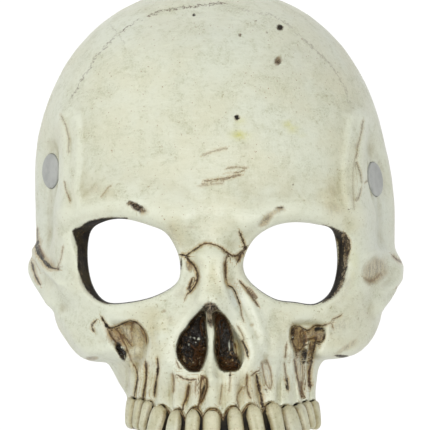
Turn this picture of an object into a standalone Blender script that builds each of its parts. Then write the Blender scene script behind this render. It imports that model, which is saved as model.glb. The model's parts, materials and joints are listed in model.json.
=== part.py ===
"""A half skull mask: a cast shell from the crown to the upper teeth, with two strap studs.

The mask lies on its rear rim with the face up. X runs across the face, +Y up the face to the
crown and +Z out of the face. Z = 0 is the plane of the rear rim. Tables are in millimetres.
"""

import math

import bmesh
import bpy
import numpy as np
from mathutils import Matrix, Vector

MM = 0.001

# Driving dimensions of the cranium, a superellipsoid cut by the rim plane.
HALF_WIDTH = 88.2
CROWN = 111.0
FRONT = 84.0
ROUNDNESS = 2.3
RIM_CORNER = math.radians(55.0)
CROWN_SHIFT = -2.2
CROWN_SHIFT_OVER = 45.0
WALL = 3.2
RIM_BAND = 12.0

# The mesh of the shell: columns across the face, rows over the dome and down the face. It is
# then thinned to the triangles that its shape needs.
COLUMNS = 141
DOME_ROWS = 50
FACE_ROWS = 90
MID_FACE = 44.0
MID_FACE_DENSITY = 1.5
SHELL_TRIANGLES = 7700
EVEN_OUT = 12

# Sections of the face below the eye line, each across the face at one height.
# height, half width, height of the front, height of the rear edge, sideways shift
FACE_COLUMNS = ("y", "half_width", "front", "rear", "shift")
FACE_SECTIONS = (
    (0.0, 88.2, 84.0, 0.0, 0.0),
    (-12.0, 88.2, 82.5, 0.0, 0.0),
    (-24.0, 87.6, 81.0, 0.0, 0.2),
    (-34.0, 84.8, 80.5, 6.0, 1.0),
    (-43.0, 81.2, 80.5, 18.0, 1.6),
    (-52.0, 80.0, 80.5, 30.0, 1.8),
    (-61.0, 78.2, 81.0, 41.0, 2.2),
    (-66.5, 74.6, 81.5, 46.0, 2.2),
    (-69.5, 66.8, 81.8, 47.0, 1.2),
    (-73.0, 56.0, 82.0, 46.0, 0.2),
    (-79.0, 53.0, 82.0, 44.5, 1.2),
    (-87.0, 50.4, 82.0, 44.0, 3.0),
    (-103.0, 51.4, 80.0, 44.0, 3.6),
)
JAW_EDGE = FACE_SECTIONS[-1][0]
JAW_RISE_FROM = -84.0
JAW_RISE = 4.5

# Eye openings, as corners of a smooth closed outline, seen from the front.
LEFT_EYE = (
    (-58.4, -8.0), (-52.0, -3.2), (-42.0, -1.8), (-30.0, -4.8), (-21.8, -9.0),
    (-16.4, -20.0), (-17.2, -30.5), (-27.0, -37.2), (-40.0, -40.6), (-51.0, -40.6),
    (-57.6, -33.0), (-60.0, -20.0),
)
RIGHT_EYE = (
    (55.2, -7.8), (47.0, -4.3), (35.0, -3.4), (25.0, -5.9), (17.0, -12.2),
    (12.9, -22.5), (16.4, -31.0), (27.0, -38.6), (37.0, -40.5), (47.0, -41.3),
    (54.6, -35.0), (57.5, -22.0),
)
# The lateral margins stand out beyond the openings, and the wall between them slopes back.
LEFT_SOCKET = (
    (-65.6, -6.6), (-52.8, -1.2), (-41.0, -0.6), (-29.0, -3.8), (-20.5, -8.4),
    (-15.2, -20.0), (-16.4, -31.4), (-27.0, -38.4), (-40.0, -41.8), (-52.0, -41.8),
    (-61.2, -33.2), (-64.2, -21.0),
)
RIGHT_SOCKET = (
    (60.6, -8.6), (48.5, -2.9), (35.0, -2.2), (24.2, -4.8), (15.8, -11.6),
    (11.6, -22.5), (15.6, -32.2), (27.0, -39.8), (37.0, -41.7), (48.0, -42.5),
    (58.4, -34.6), (62.2, -20.0),
)
SOCKET_DEPTH = 9.0
SOCKET_SLOPE = 5.0
EYE_WALL = 4.5
EYE_WALL_REACH = 5.0

# The two halves of the nose opening, closed at the back.
LEFT_NOSTRIL = (
    (-3.4, -41.0), (-9.6, -47.5), (-15.6, -54.5), (-17.2, -63.0), (-13.6, -70.0),
    (-7.4, -70.4), (-4.2, -62.0), (-3.8, -50.0),
)
RIGHT_NOSTRIL = (
    (-0.6, -41.0), (4.6, -46.5), (10.8, -54.5), (13.6, -63.5), (11.2, -70.0),
    (4.0, -70.8), (0.2, -62.0), (-0.4, -50.0),
)
NOSTRIL_DEPTH = 10.0
NOSTRIL_SLOPE = 2.6

# Stains gather in these hollows under the cheekbones.
LEFT_HOLLOW = ((-48.5, -50.0), (-38.0, -50.5), (-31.0, -57.0), (-34.0, -70.0), (-42.5, -66.0))
RIGHT_HOLLOW = ((35.0, -49.5), (49.5, -49.5), (50.0, -57.0), (44.5, -68.0), (38.0, -64.0))
HOLLOW_DEPTH = 4.0
HOLLOW_SLOPE = 4.5

# Rounded rises and dents moved straight out of the face.
# middle x, middle y, reach x, reach y, height
FRONT_BUMPS = (
    (0.0, 3.0, 17.0, 11.0, 2.6),
    (0.0, -14.5, 15.0, 5.0, -3.2),
    (-38.0, -21.0, 25.0, 19.0, -4.0),
    (36.0, -21.0, 25.0, 19.0, -4.0),
    (0.0, -86.0, 30.0, 16.0, 1.5),
)
# Ridges along a line moved straight out of the face: reach, height, then points of the line.
FRONT_RIDGES = (
    (9.0, 9.5, ((-1.5, -19.0), (-1.5, -27.0), (-1.8, -37.5))),
    (12.0, 4.5, ((-16.0, -41.0), (-19.0, -54.0), (-19.0, -66.0), (-8.0, -77.0))),
    (12.0, 4.5, ((12.0, -41.0), (17.0, -54.0), (17.0, -66.0), (5.0, -77.0))),
    (8.0, 3.6, ((-15.0, -2.0), (-28.0, 2.5), (-44.0, 4.0), (-58.0, 1.0))),
    (8.0, 3.6, ((13.0, -2.5), (26.0, 1.5), (42.0, 2.5), (56.0, -0.5))),
    (2.6, 3.4, ((-2.0, -44.0), (-1.6, -58.0), (-2.2, -74.0))),
)
# Ridges and dents moved along the surface normal: reach, height, points seen from the front.
CORNER_RIDGES = (
    (5.5, 2.2, ((-70.0, 45.0), (-68.5, 30.0), (-67.0, 12.0), (-68.0, 2.0))),
    (5.5, 2.2, ((68.0, 44.0), (66.0, 30.0), (65.0, 12.0), (65.5, 2.0))),
    (7.0, 2.6, ((-69.0, -4.0), (-69.5, -18.0), (-68.0, -32.0))),
    (7.0, 2.6, ((66.5, -5.0), (67.5, -18.0), (66.5, -32.0))),
    (12.0, 3.4, ((-62.0, -42.0), (-64.0, -52.0), (-61.0, -62.0))),
    (12.0, 3.4, ((61.0, -42.0), (64.0, -52.0), (61.0, -60.0))),
)
# Ridges and dents of the side walls, as seen from the side: reach, height, points (y, z).
SIDE_RIDGES = (
    (10.0, -4.5, ((30.0, 40.0), (8.0, 38.0), (-8.0, 36.0))),
    (6.5, 5.0, ((-42.0, 40.0), (-34.0, 26.0), (-27.0, 12.0), (-25.0, 0.0))),
)
SIDE_FROM = 66.0
SIDE_BLEND = 10.0

# Upper teeth on an arc, from one side of the jaw to the other. A positive lean goes to +X at
# the tip: middle x, neck y, width, lean, length.
TOOTH_COLUMNS = ("x", "y", "width", "lean", "length")
TEETH = (
    (-39.4, -85.6, 8.4, -0.10, 13.6),
    (-35.2, -85.0, 7.4, -0.18, 14.0),
    (-31.0, -85.0, 7.4, -0.26, 14.6),
    (-24.4, -87.0, 8.6, -0.34, 16.4),
    (-18.0, -88.8, 7.4, -0.22, 15.6),
    (-10.6, -88.4, 8.6, -0.10, 16.6),
    (-1.6, -88.2, 9.2, 0.0, 17.2),
    (8.2, -87.6, 8.8, 0.16, 17.2),
    (17.0, -86.6, 9.4, 0.28, 17.6),
    (26.2, -86.0, 8.8, 0.32, 17.2),
    (33.0, -86.6, 8.0, 0.34, 15.6),
    (38.6, -85.6, 7.6, 0.34, 14.4),
    (43.0, -85.0, 7.4, 0.26, 13.8),
    (46.8, -84.6, 7.8, 0.14, 13.4),
)
TOOTH_ARC_MIDDLE = 3.6
TOOTH_ARC_HALF_WIDTH = 50.6
TOOTH_ARC_FRONT = 78.2
TOOTH_DEPTH = 6.4
GUM_LINE = -89.5
GUM_STEP = 2.6
GUM_SLOPE = 2.4

# Strap studs at the temples, by the point of the wall that each sits on: side, y, z.
STUD_SEATS = (("strap_stud_left", -1, 21.0, 35.0), ("strap_stud_right", 1, 17.0, 36.0))
STUD_RADIUS = 8.3
STUD_DISC = 2.0
SEAT_DEPTH = 1.5
BOSS = 2.4
BOSS_RADIUS = 13.0
POST_RADIUS = 2.4
COLLAR_RADIUS = 5.0
COLLAR = 1.6
FIT_GAP = 0.3

# The middle of the finished mask's bounds, which is moved to the origin.
MIDDLE = (0.3, 2.3, 0.0)


def smooth_curve(knots, values, at):
    """A cubic curve through the values at the knots, which never overshoots them."""
    knots, values = np.array(knots, float), np.array(values, float)
    step = np.diff(knots)
    slope = np.diff(values) / step
    tangent = np.zeros(len(knots))
    same_way = slope[:-1] * slope[1:] > 0
    tangent[1:-1][same_way] = 2 * (slope[:-1] * slope[1:])[same_way] / (slope[:-1] + slope[1:])[same_way]
    tangent[0], tangent[-1] = slope[0], slope[-1]
    i = np.clip(np.searchsorted(knots, at) - 1, 0, len(step) - 1)
    t = (at - knots[i]) / step[i]
    rise = values[i + 1] - values[i]
    pull = (tangent[i] * step[i] * (1 - t) - tangent[i + 1] * step[i] * t) * t * (1 - t)
    return values[i] + rise * t * t * (3 - 2 * t) + pull


def face_column(name, y):
    """One column of the face sections at the height y."""
    rows = FACE_SECTIONS[::-1]
    column = FACE_COLUMNS.index(name)
    return float(smooth_curve([r[0] for r in rows], [r[column] for r in rows], y))


def closed_outline(corners, per_corner=6):
    """A smooth closed line through the corners, as points."""
    p = np.array(corners, float)
    before, after, last = np.roll(p, 1, 0), np.roll(p, -1, 0), np.roll(p, -2, 0)
    points = []
    for t in np.arange(per_corner) / per_corner:
        points.append(
            0.5 * (2 * p + (after - before) * t + (2 * before - 5 * p + 4 * after - last) * t**2
                   + (3 * p - before - 3 * after + last) * t**3)
        )
    return np.stack(points, 1).reshape(-1, 2)


def distance_to_line(a, b, line, closed=False):
    """The distance in the plane from each point (a, b) to a line of points."""
    line = np.array(line, float)
    ends = np.roll(line, -1, 0) if closed else line[1:]
    best = np.full(a.shape, np.inf)
    for (x0, y0), (x1, y1) in zip(line if closed else line[:-1], ends):
        dx, dy = x1 - x0, y1 - y0
        t = np.clip(((a - x0) * dx + (b - y0) * dy) / (dx * dx + dy * dy), 0, 1)
        best = np.minimum(best, np.hypot(a - x0 - t * dx, b - y0 - t * dy))
    return best


def distance_inside(a, b, corners):
    """How far each point is inside a closed outline; outside it the distance is negative."""
    line = closed_outline(corners)
    inside = np.zeros(a.shape, bool)
    for (x0, y0), (x1, y1) in zip(line, np.roll(line, -1, 0)):
        if y0 != y1:
            inside ^= ((b < y0) != (b < y1)) & (a < x0 + (b - y0) * (x1 - x0) / (y1 - y0))
    return np.where(inside, 1, -1) * distance_to_line(a, b, line, closed=True)


def smooth_step(value):
    """0 below 0, 1 above 1 and an even curve in between."""
    t = np.clip(value, 0, 1)
    return t * t * (3 - 2 * t)


def on_dome(points):
    """The points moved straight from the middle of the head out to the dome."""
    axes = np.array((HALF_WIDTH, CROWN, FRONT))
    size = (np.abs(points / axes) ** ROUNDNESS).sum(-1) ** (1 / ROUNDNESS)
    return points / size[..., None]


def dome_row(lift):
    """A row over the dome: lift 0 runs across the eye line and lift 1 along the crown's rim."""
    rise = lift * math.pi / 2
    front = np.array((0.0, CROWN * math.sin(rise), FRONT * math.cos(rise)))
    turn = lift * RIM_CORNER
    side = np.array((HALF_WIDTH * math.cos(turn), CROWN * math.sin(turn), 0.0))
    angle = np.linspace(-math.pi / 2, math.pi / 2, 241)[:, None]
    ends = np.where(angle < 0, side * (-1, 1, 1), side)
    return on_dome(front * np.cos(angle) + ends * np.abs(np.sin(angle)))


def face_row(y):
    """A row across the face at the height y, from one rear edge round to the other."""
    width, front, rear, shift = (face_column(name, y) for name in FACE_COLUMNS[1:])
    start = math.asin((rear / front) ** (ROUNDNESS / 2))
    angle = np.linspace(math.pi - start, start, 241)
    across = np.cos(angle)
    x = width * np.sign(across) * np.abs(across) ** (2 / ROUNDNESS)
    z = front * np.abs(np.sin(angle)) ** (2 / ROUNDNESS)
    z[[0, -1]] = rear
    return np.stack((x + shift, np.full_like(x, y), z), -1)


def spread(row, columns):
    """The row again with evenly spaced columns, which are closer in the middle of the face."""
    step = np.linalg.norm(np.diff(row, axis=0), axis=1)
    middle = (row[1:] + row[:-1])[:, 0] / 2
    step *= 1 + (MID_FACE_DENSITY - 1) * smooth_step(2 - np.abs(middle) / MID_FACE)
    along = np.concatenate(([0], np.cumsum(step)))
    at = np.linspace(0, along[-1], columns)
    return np.stack([np.interp(at, along, row[:, k]) for k in range(3)], -1)


def base_grid():
    """The plain form of the mask as rows of points, from the jaw edge up to the crown's rim."""
    heights = np.linspace(JAW_EDGE, 0, FACE_ROWS)
    lifts = np.linspace(0, 1, DOME_ROWS + 1)[1:]
    rows = [spread(face_row(y), COLUMNS) for y in heights]
    rows += [spread(dome_row(lift), COLUMNS) for lift in lifts]
    grid = np.array(rows)
    x, y = grid[..., 0], grid[..., 1]
    jaw = np.clip((JAW_RISE_FROM - y) / (JAW_RISE_FROM - JAW_EDGE), 0, 1)
    grid[..., 0] = x + CROWN_SHIFT * smooth_step(y / CROWN_SHIFT_OVER)
    grid[..., 1] = y + JAW_RISE * jaw * np.clip(x / FACE_SECTIONS[-1][1], -1, 1) ** 2
    return grid


def grid_normals(grid):
    """The outward normal at each point of a grid of rows."""
    normal = np.cross(np.gradient(grid, axis=1), np.gradient(grid, axis=0))
    for side, beside in ((0, 1), (-1, -2)):
        normal[-1, side] = normal[-1, beside] + normal[-2, side]
    return normal / np.maximum(np.linalg.norm(normal, axis=-1, keepdims=True), 1e-9)


def plain_normals(base):
    """The outward normals of the plain form, which turn level along its rear edge."""
    normal = grid_normals(base)
    normal[..., 2] *= smooth_step((base[..., 2] - base[:, :1, 2]) / RIM_BAND)
    return normal / np.linalg.norm(normal, axis=-1, keepdims=True)


def ridges(a, b, table, widest_left_out=0.0):
    """The summed heights of a table's ridges at the points (a, b)."""
    total = np.zeros(a.shape)
    for reach, height, line in table:
        if reach > widest_left_out:
            total += height * np.exp(-((distance_to_line(a, b, line) / reach) ** 2))
    return total


def face_relief(grid, grown=0.0):
    """The grid with the face's forms raised and sunk; grown widens the sunk ones for the back."""
    x, y, z = grid[..., 0], grid[..., 1], grid[..., 2]
    normal = plain_normals(grid)
    out = ridges(x, y, FRONT_RIDGES, grown)
    for cx, cy, reach_x, reach_y, height in FRONT_BUMPS:
        out += height * np.exp(-(((x - cx) / reach_x) ** 2) - ((y - cy) / reach_y) ** 2)
    for corners in (LEFT_SOCKET, RIGHT_SOCKET):
        inside = distance_inside(x, y, corners) + grown
        out -= SOCKET_DEPTH * smooth_step(inside / SOCKET_SLOPE)
    for corners in (LEFT_NOSTRIL, RIGHT_NOSTRIL):
        inside = distance_inside(x, y, corners) + grown
        out -= NOSTRIL_DEPTH * smooth_step(inside / NOSTRIL_SLOPE)
    for corners in (LEFT_HOLLOW, RIGHT_HOLLOW):
        inside = distance_inside(x, y, corners) + grown
        out -= HOLLOW_DEPTH * smooth_step(0.3 + inside / HOLLOW_SLOPE)
    side = smooth_step((np.abs(x) - SIDE_FROM) / SIDE_BLEND)
    along = ridges(x, y, CORNER_RIDGES, grown) + side * ridges(y, z, SIDE_RIDGES, grown)
    along -= GUM_STEP * smooth_step((GUM_LINE + grown - y) / GUM_SLOPE)
    raised = grid + normal * along[..., None]
    raised[..., 2] += out
    return raised


def keep_edges_flat(grid, base):
    """The grid with its rear and jaw edges back in their planes, and nothing behind them."""
    grid[..., 2] = np.maximum(grid[..., 2], base[:, :1, 2])
    for edge in (np.s_[:, 0], np.s_[:, -1], np.s_[-1, :]):
        grid[edge][..., 2] = base[edge][..., 2]
    grid[0, :, 1] = base[0, :, 1]
    return grid


def even_out(grid, times):
    """The grid with each inner point moved halfway to the mean of its four neighbours."""
    for _ in range(times):
        mean = (grid[:-2, 1:-1] + grid[2:, 1:-1] + grid[1:-1, :-2] + grid[1:-1, 2:]) / 4
        grid[1:-1, 1:-1] = (grid[1:-1, 1:-1] + mean) / 2
    return grid


def outer_and_inner():
    """The outer and the inner skin of the wall, as grids of points."""
    base = base_grid()
    outer = keep_edges_flat(face_relief(base), base)
    x, y, z = base[..., 0], base[..., 1], base[..., 2]
    thickness = np.full_like(x, WALL)
    for _, side, seat_y, seat_z in STUD_SEATS:
        near = np.hypot(y - seat_y, z - seat_z) / BOSS_RADIUS
        thickness += BOSS * smooth_step(2 - 2 * near) * (x * side > 0)
    inner = face_relief(base, grown=WALL) - plain_normals(base) * thickness[..., None]
    for corners in (LEFT_EYE, RIGHT_EYE):
        near = distance_inside(x, y, corners)
        inner[..., 2] -= EYE_WALL * smooth_step(1 + near / EYE_WALL_REACH)
    return outer, keep_edges_flat(even_out(inner, EVEN_OUT), base)


def add_skin(bm, grid, outward):
    """Adds a grid primitive shaped to the rows of points, and returns its vertices."""
    rows, columns = grid.shape[:2]
    made = bmesh.ops.create_grid(bm, x_segments=columns - 1, y_segments=rows - 1, size=1)["verts"]
    for vert, place in zip(made, grid.reshape(-1, 3)):
        vert.co = Vector(place) * MM
    if not outward:
        faces = {face for vert in made for face in vert.link_faces}
        bmesh.ops.reverse_faces(bm, faces=list(faces))
    return made


def new_object(name, bm, collection, material=None):
    """Moves a bmesh into a named object of the collection."""
    mesh = bpy.data.meshes.new(name)
    bm.to_mesh(mesh)
    bm.free()
    obj = bpy.data.objects.new(name, mesh)
    collection.objects.link(obj)
    if material:
        mesh.materials.append(material)
    return obj


def paint(name, colour, roughness):
    """A plain painted finish."""
    material = bpy.data.materials.new(name)
    material.use_nodes = True
    shader = material.node_tree.nodes["Principled BSDF"]
    shader.inputs["Base Color"].default_value = (*colour, 1)
    shader.inputs["Roughness"].default_value = roughness
    shader.inputs["Metallic"].default_value = 0
    return material


def make_wall(collection, material):
    """The bare wall of the mask, closed along its edges."""
    bm = bmesh.new()
    outer, inner = outer_and_inner()
    add_skin(bm, outer, outward=True)
    add_skin(bm, inner, outward=False)
    edges = [edge for edge in bm.edges if edge.is_boundary]
    bmesh.ops.bridge_loops(bm, edges=edges)
    bmesh.ops.recalc_face_normals(bm, faces=bm.faces)
    bmesh.ops.triangulate(bm, faces=bm.faces)
    share = SHELL_TRIANGLES / len(bm.faces)
    shell = new_object("mask_shell", bm, collection, material)
    shell.modifiers.new("thin_out", "DECIMATE").ratio = share
    return shell, outer


def outline_cutter(name, corners, collection):
    """A prism through the mask with the outline of an eye opening."""
    curve = bpy.data.curves.new(name, "CURVE")
    curve.dimensions = "2D"
    curve.fill_mode = "BOTH"
    curve.extrude = FRONT * MM
    spline = curve.splines.new("POLY")
    points = closed_outline(corners, 4)
    spline.points.add(len(points) - 1)
    for point, (x, y) in zip(spline.points, points):
        point.co = (x * MM, y * MM, 0, 1)
    spline.use_cyclic_u = True
    guide = bpy.data.objects.new(name, curve)
    collection.objects.link(guide)
    guide.location.z = FRONT * MM
    bpy.context.view_layer.update()
    mesh = bpy.data.meshes.new_from_object(guide.evaluated_get(bpy.context.evaluated_depsgraph_get()))
    cutter = bpy.data.objects.new(name + "_cutter", mesh)
    cutter.matrix_world = guide.matrix_world
    collection.objects.link(cutter)
    bpy.data.objects.remove(guide)
    bm = bmesh.new()
    bm.from_mesh(mesh)
    bmesh.ops.remove_doubles(bm, verts=bm.verts, dist=1e-6)
    bm.to_mesh(mesh)
    bm.free()
    return cutter


def surface_point(outer, base, side, y, z):
    """The point of the side wall nearest to a height and depth, with its outward normal."""
    rows, columns = base.shape[:2]
    half = np.s_[:, : columns // 2] if side < 0 else np.s_[:, columns // 2 :]
    points, normals = outer[half].reshape(-1, 3), grid_normals(outer)[half].reshape(-1, 3)
    gap = np.hypot(points[:, 1] - y, points[:, 2] - z)
    near = np.argsort(gap)[:6]
    weight = 1 / (gap[near] + 0.5)
    place = (points[near] * weight[:, None]).sum(0) / weight.sum()
    normal = (normals[near] * weight[:, None]).sum(0)
    return Vector(place), Vector(normal).normalized()


def turned(name, profile, place, axis, collection, material=None):
    """A solid turned from a profile of (radius, height) about an axis through a place."""
    bm = bmesh.new()
    verts = [bm.verts.new((r * MM, 0, h * MM)) for r, h in profile]
    for a, b in zip(verts, verts[1:]):
        bm.edges.new((a, b))
    obj = new_object(name, bm, collection, material)
    screw = obj.modifiers.new("turn", "SCREW")
    screw.steps = screw.render_steps = 28
    screw.use_merge_vertices = True
    screw.merge_threshold = 1e-5
    turn = Vector((0, 0, 1)).rotation_difference(axis).to_matrix().to_4x4()
    obj.matrix_world = Matrix.Translation(Vector(place) * MM) @ turn
    return obj


def make_stud(name, place, axis, collection, cutters, material):
    """A strap stud: a disc in a round seat, a post through the wall and a collar inside."""
    top = STUD_DISC - SEAT_DEPTH
    floor = -SEAT_DEPTH + FIT_GAP
    inside = -WALL - BOSS - 0.6
    stud = (
        (0, top), (STUD_RADIUS - 0.4, top), (STUD_RADIUS, top - 0.4), (STUD_RADIUS, floor),
        (POST_RADIUS, floor), (POST_RADIUS, inside), (COLLAR_RADIUS, inside),
        (COLLAR_RADIUS, inside - COLLAR), (0, inside - COLLAR),
    )
    bore = POST_RADIUS + FIT_GAP
    seat_radius = STUD_RADIUS + FIT_GAP
    seat = (
        (0, 6.0), (seat_radius, 6.0), (seat_radius, -SEAT_DEPTH), (bore, -SEAT_DEPTH),
        (bore, -WALL - 8), (0, -WALL - 8),
    )
    turned(name, stud, place, axis, collection, material)
    return turned(name + "_seat", seat, place, axis, cutters)


def on_tooth_arc(x):
    """The depth of the row of teeth at x, and the way that a tooth there faces."""
    across = (x - TOOTH_ARC_MIDDLE) / TOOTH_ARC_HALF_WIDTH
    depth = (1 - abs(across) ** ROUNDNESS) ** (1 / ROUNDNESS)
    sideways = math.copysign(abs(across) ** (ROUNDNESS - 1), across) / TOOTH_ARC_HALF_WIDTH
    forward = depth ** (ROUNDNESS - 1) / TOOTH_ARC_FRONT
    return depth * TOOTH_ARC_FRONT, Vector((sideways, 0, forward)).normalized()


def add_tooth(tooth, cutters, index):
    """One tooth as a long rounded body, half sunk in the front of the jaw."""
    x, y, width, lean, length = (tooth[TOOTH_COLUMNS.index(c)] for c in TOOTH_COLUMNS)
    z, facing = on_tooth_arc(x)
    bpy.ops.mesh.primitive_uv_sphere_add(segments=10, ring_count=7, radius=1)
    body = bpy.context.object
    body.name = f"tooth_{index:02d}"
    for vert in body.data.vertices:
        for axis in range(3):
            vert.co[axis] = math.copysign(abs(vert.co[axis]) ** 0.8, vert.co[axis])
    up = Vector((-lean, 1, 0)).normalized()
    across = facing.cross(up).normalized()
    turn = Matrix((across, up.cross(across), up)).transposed().to_4x4()
    size = Vector((width, TOOTH_DEPTH, length + 2)) / 2 * MM
    place = Vector((x + lean * length / 2, y - length / 2, z)) * MM
    body.matrix_world = Matrix.Translation(place) @ turn @ Matrix.Diagonal((*size, 1))
    for owner in body.users_collection:
        owner.objects.unlink(body)
    cutters.objects.link(body)
    return body


def combine(target, others, operation):
    """Adds one Boolean for each of the other objects."""
    for other in others:
        other.hide_render = True
        other.display_type = "WIRE"
        modifier = target.modifiers.new(other.name, "BOOLEAN")
        modifier.operation = operation
        modifier.solver = "EXACT"
        modifier.object = other


def build():
    """Clears the scene and builds the mask."""
    for obj in list(bpy.data.objects):
        bpy.data.objects.remove(obj)
    mask = bpy.data.collections.new("skull_mask")
    cutters = bpy.data.collections.new("cutters")
    for collection in (mask, cutters):
        bpy.context.scene.collection.children.link(collection)
    bone = paint("bone_paint", (0.68, 0.70, 0.58), 0.45)
    grey = paint("grey_plastic", (0.46, 0.47, 0.45), 0.5)
    shell, outer = make_wall(mask, bone)
    base = base_grid()
    teeth = [add_tooth(tooth, cutters, i + 1) for i, tooth in enumerate(TEETH)]
    combine(shell, teeth, "UNION")
    eyes = [
        outline_cutter("left_eye", LEFT_EYE, cutters),
        outline_cutter("right_eye", RIGHT_EYE, cutters),
    ]
    seats = []
    for name, side, y, z in STUD_SEATS:
        place, normal = surface_point(outer, base, side, y, z)
        seats.append(make_stud(name, place, normal, mask, cutters, grey))
    combine(shell, eyes + seats, "DIFFERENCE")
    for obj in bpy.data.objects:
        obj.matrix_world = Matrix.Translation(Vector(MIDDLE) * -MM) @ obj.matrix_world


build()
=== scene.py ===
# %% [markdown]
# # A half skull mask
# The real thing is a thin rigid casting, painted bone white and rubbed with brown stain, which
# stays in every crack and hollow. It lies on its rear rim with the face up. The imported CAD
# model gives the frame: sizes, the rim plane and the two strap studs stay exactly as they are.

# %% The frame, and what every step below needs
import contextlib
import json
import math

import bpy
import numpy as np
from mathutils import Matrix, Vector, kdtree


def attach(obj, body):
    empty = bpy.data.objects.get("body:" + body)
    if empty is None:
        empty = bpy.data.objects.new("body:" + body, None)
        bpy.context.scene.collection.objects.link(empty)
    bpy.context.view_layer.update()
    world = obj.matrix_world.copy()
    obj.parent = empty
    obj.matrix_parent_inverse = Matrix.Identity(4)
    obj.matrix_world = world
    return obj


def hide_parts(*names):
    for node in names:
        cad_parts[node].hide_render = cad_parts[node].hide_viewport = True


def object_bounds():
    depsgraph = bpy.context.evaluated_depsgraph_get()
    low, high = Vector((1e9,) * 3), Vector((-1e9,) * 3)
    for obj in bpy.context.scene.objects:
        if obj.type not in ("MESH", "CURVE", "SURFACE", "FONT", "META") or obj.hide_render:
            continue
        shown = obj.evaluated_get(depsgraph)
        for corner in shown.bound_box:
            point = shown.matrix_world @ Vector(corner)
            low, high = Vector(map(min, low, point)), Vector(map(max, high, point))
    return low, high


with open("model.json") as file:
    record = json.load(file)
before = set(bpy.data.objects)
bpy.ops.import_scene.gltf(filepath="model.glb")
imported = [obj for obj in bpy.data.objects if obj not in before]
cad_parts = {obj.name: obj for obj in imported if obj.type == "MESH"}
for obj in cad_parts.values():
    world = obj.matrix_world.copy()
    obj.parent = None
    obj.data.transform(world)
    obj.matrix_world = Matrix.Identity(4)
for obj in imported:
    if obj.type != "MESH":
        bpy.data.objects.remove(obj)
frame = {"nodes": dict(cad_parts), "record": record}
CAD_BOX = [list(corner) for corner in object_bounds()]
MM = 0.001
MIDDLE = np.array((0.3, 2.3, 0.0))
bpy.ops.object.select_all(action="DESELECT")
print("nodes", sorted(frame["nodes"]), "box in mm", np.round(np.array(CAD_BOX) * 1000, 1).tolist())

# %% [markdown]
# ## The camera
# The photograph is taken from straight in front, about a metre away. The mask lies on its back,
# so the camera hangs straight above it. The same numbers also say where a point of the mask
# shows up in the picture, which is how the stains and cracks are put in their places later.

# %% Camera straight above the face
EYE_HEIGHT = 1085.0
PICTURE_PX = 430
MM_PER_PX_AT_1M = 0.455

camera_data = bpy.data.cameras.new("camera")
camera_data.lens = camera_data.sensor_width / (MM_PER_PX_AT_1M * MM * PICTURE_PX)
camera = bpy.data.objects.new("camera", camera_data)
camera.location = (-MIDDLE[0] * MM, -MIDDLE[1] * MM, EYE_HEIGHT * MM)
bpy.context.scene.collection.objects.link(camera)
bpy.context.scene.camera = camera


def mm_per_px(height):
    """How many mm one pixel of the picture covers at a height above the rim."""
    return MM_PER_PX_AT_1M * (EYE_HEIGHT - height) / 1000


def in_picture(points):
    """Where points of the mask show up, in pixels across and down the picture."""
    scale = mm_per_px(points[..., 2])
    half = PICTURE_PX / 2
    return half + points[..., 0] / scale, half - points[..., 1] / scale


print("lens", round(camera_data.lens, 1), "mm, camera", EYE_HEIGHT, "mm above the floor")

# %% [markdown]
# ## The plain form of the head
# Above the eyes a skull is close to a squashed ball, and below them it is easiest to give as
# level sections. Both are laid out as rows of points, so that the whole face is one sheet of
# squares that can be pushed and pulled like clay.

# %% Sections and the dome
HALF_WIDTH, CROWN, FRONT = 88.2, 111.0, 84.0
ROUNDNESS = 2.3
RIM_CORNER = math.radians(55.0)
CROWN_SHIFT, CROWN_SHIFT_OVER = -2.2, 45.0
WALL, RIM_BAND = 3.2, 12.0
MID_FACE, MID_FACE_DENSITY = 44.0, 1.6
ROW_POINTS = 481

# height, half width, height of the front, height of the rear edge, sideways shift
FACE_SECTIONS = (
    (0, 88.2, 84, 0, 0),
    (-12, 88.2, 82.5, 0, 0),
    (-24, 87.6, 81, 0, 0.2),
    (-34, 84.8, 80.5, 6, 1),
    (-43, 81.2, 80.5, 18, 1.6),
    (-52, 80, 80.5, 30, 1.8),
    (-60, 77.6, 81, 41, 2.8),
    (-63.9, 74.4, 81.4, 45.5, 2.6),
    (-66.5, 67, 81.7, 46.6, 0.6),
    (-68.9, 58.5, 81.9, 46.4, 0.2),
    (-71.8, 56, 82, 46, 0.2),
    (-79, 53, 82, 44.5, 1.2),
    (-87, 50.4, 82, 44, 3),
    (-103, 51.4, 80, 44, 3.6),
)
JAW_EDGE = FACE_SECTIONS[-1][0]
JAW_RISE_FROM, JAW_RISE = -84.0, 4.5
# the right cheek ends a little higher than the left one
CHEEK_END, CHEEK_REACH, CHEEK_LIFT = -65.0, 9.0, 1.5
CHEEK_BLEND, CHEEK_START = 40, 0.3


def smooth_step(value):
    """0 below 0, 1 above 1 and an even curve in between."""
    t = np.clip(value, 0, 1)
    return t * t * (3 - 2 * t)


def bell(value):
    """1 at 0, falling off evenly to both sides."""
    return np.exp(-(value**2))


def smooth_curve(knots, values, at):
    """A cubic curve through the values at the knots, which never overshoots them."""
    knots, values = np.array(knots, float), np.array(values, float)
    step = np.diff(knots)
    slope = np.diff(values) / step
    tangent = np.zeros(len(knots))
    same_way = slope[:-1] * slope[1:] > 0
    tangent[1:-1][same_way] = 2 * (slope[:-1] * slope[1:])[same_way] / (slope[:-1] + slope[1:])[same_way]
    tangent[0], tangent[-1] = slope[0], slope[-1]
    i = np.clip(np.searchsorted(knots, at) - 1, 0, len(step) - 1)
    t = (at - knots[i]) / step[i]
    rise = values[i + 1] - values[i]
    pull = (tangent[i] * step[i] * (1 - t) - tangent[i + 1] * step[i] * t) * t * (1 - t)
    return values[i] + rise * t * t * (3 - 2 * t) + pull


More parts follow.
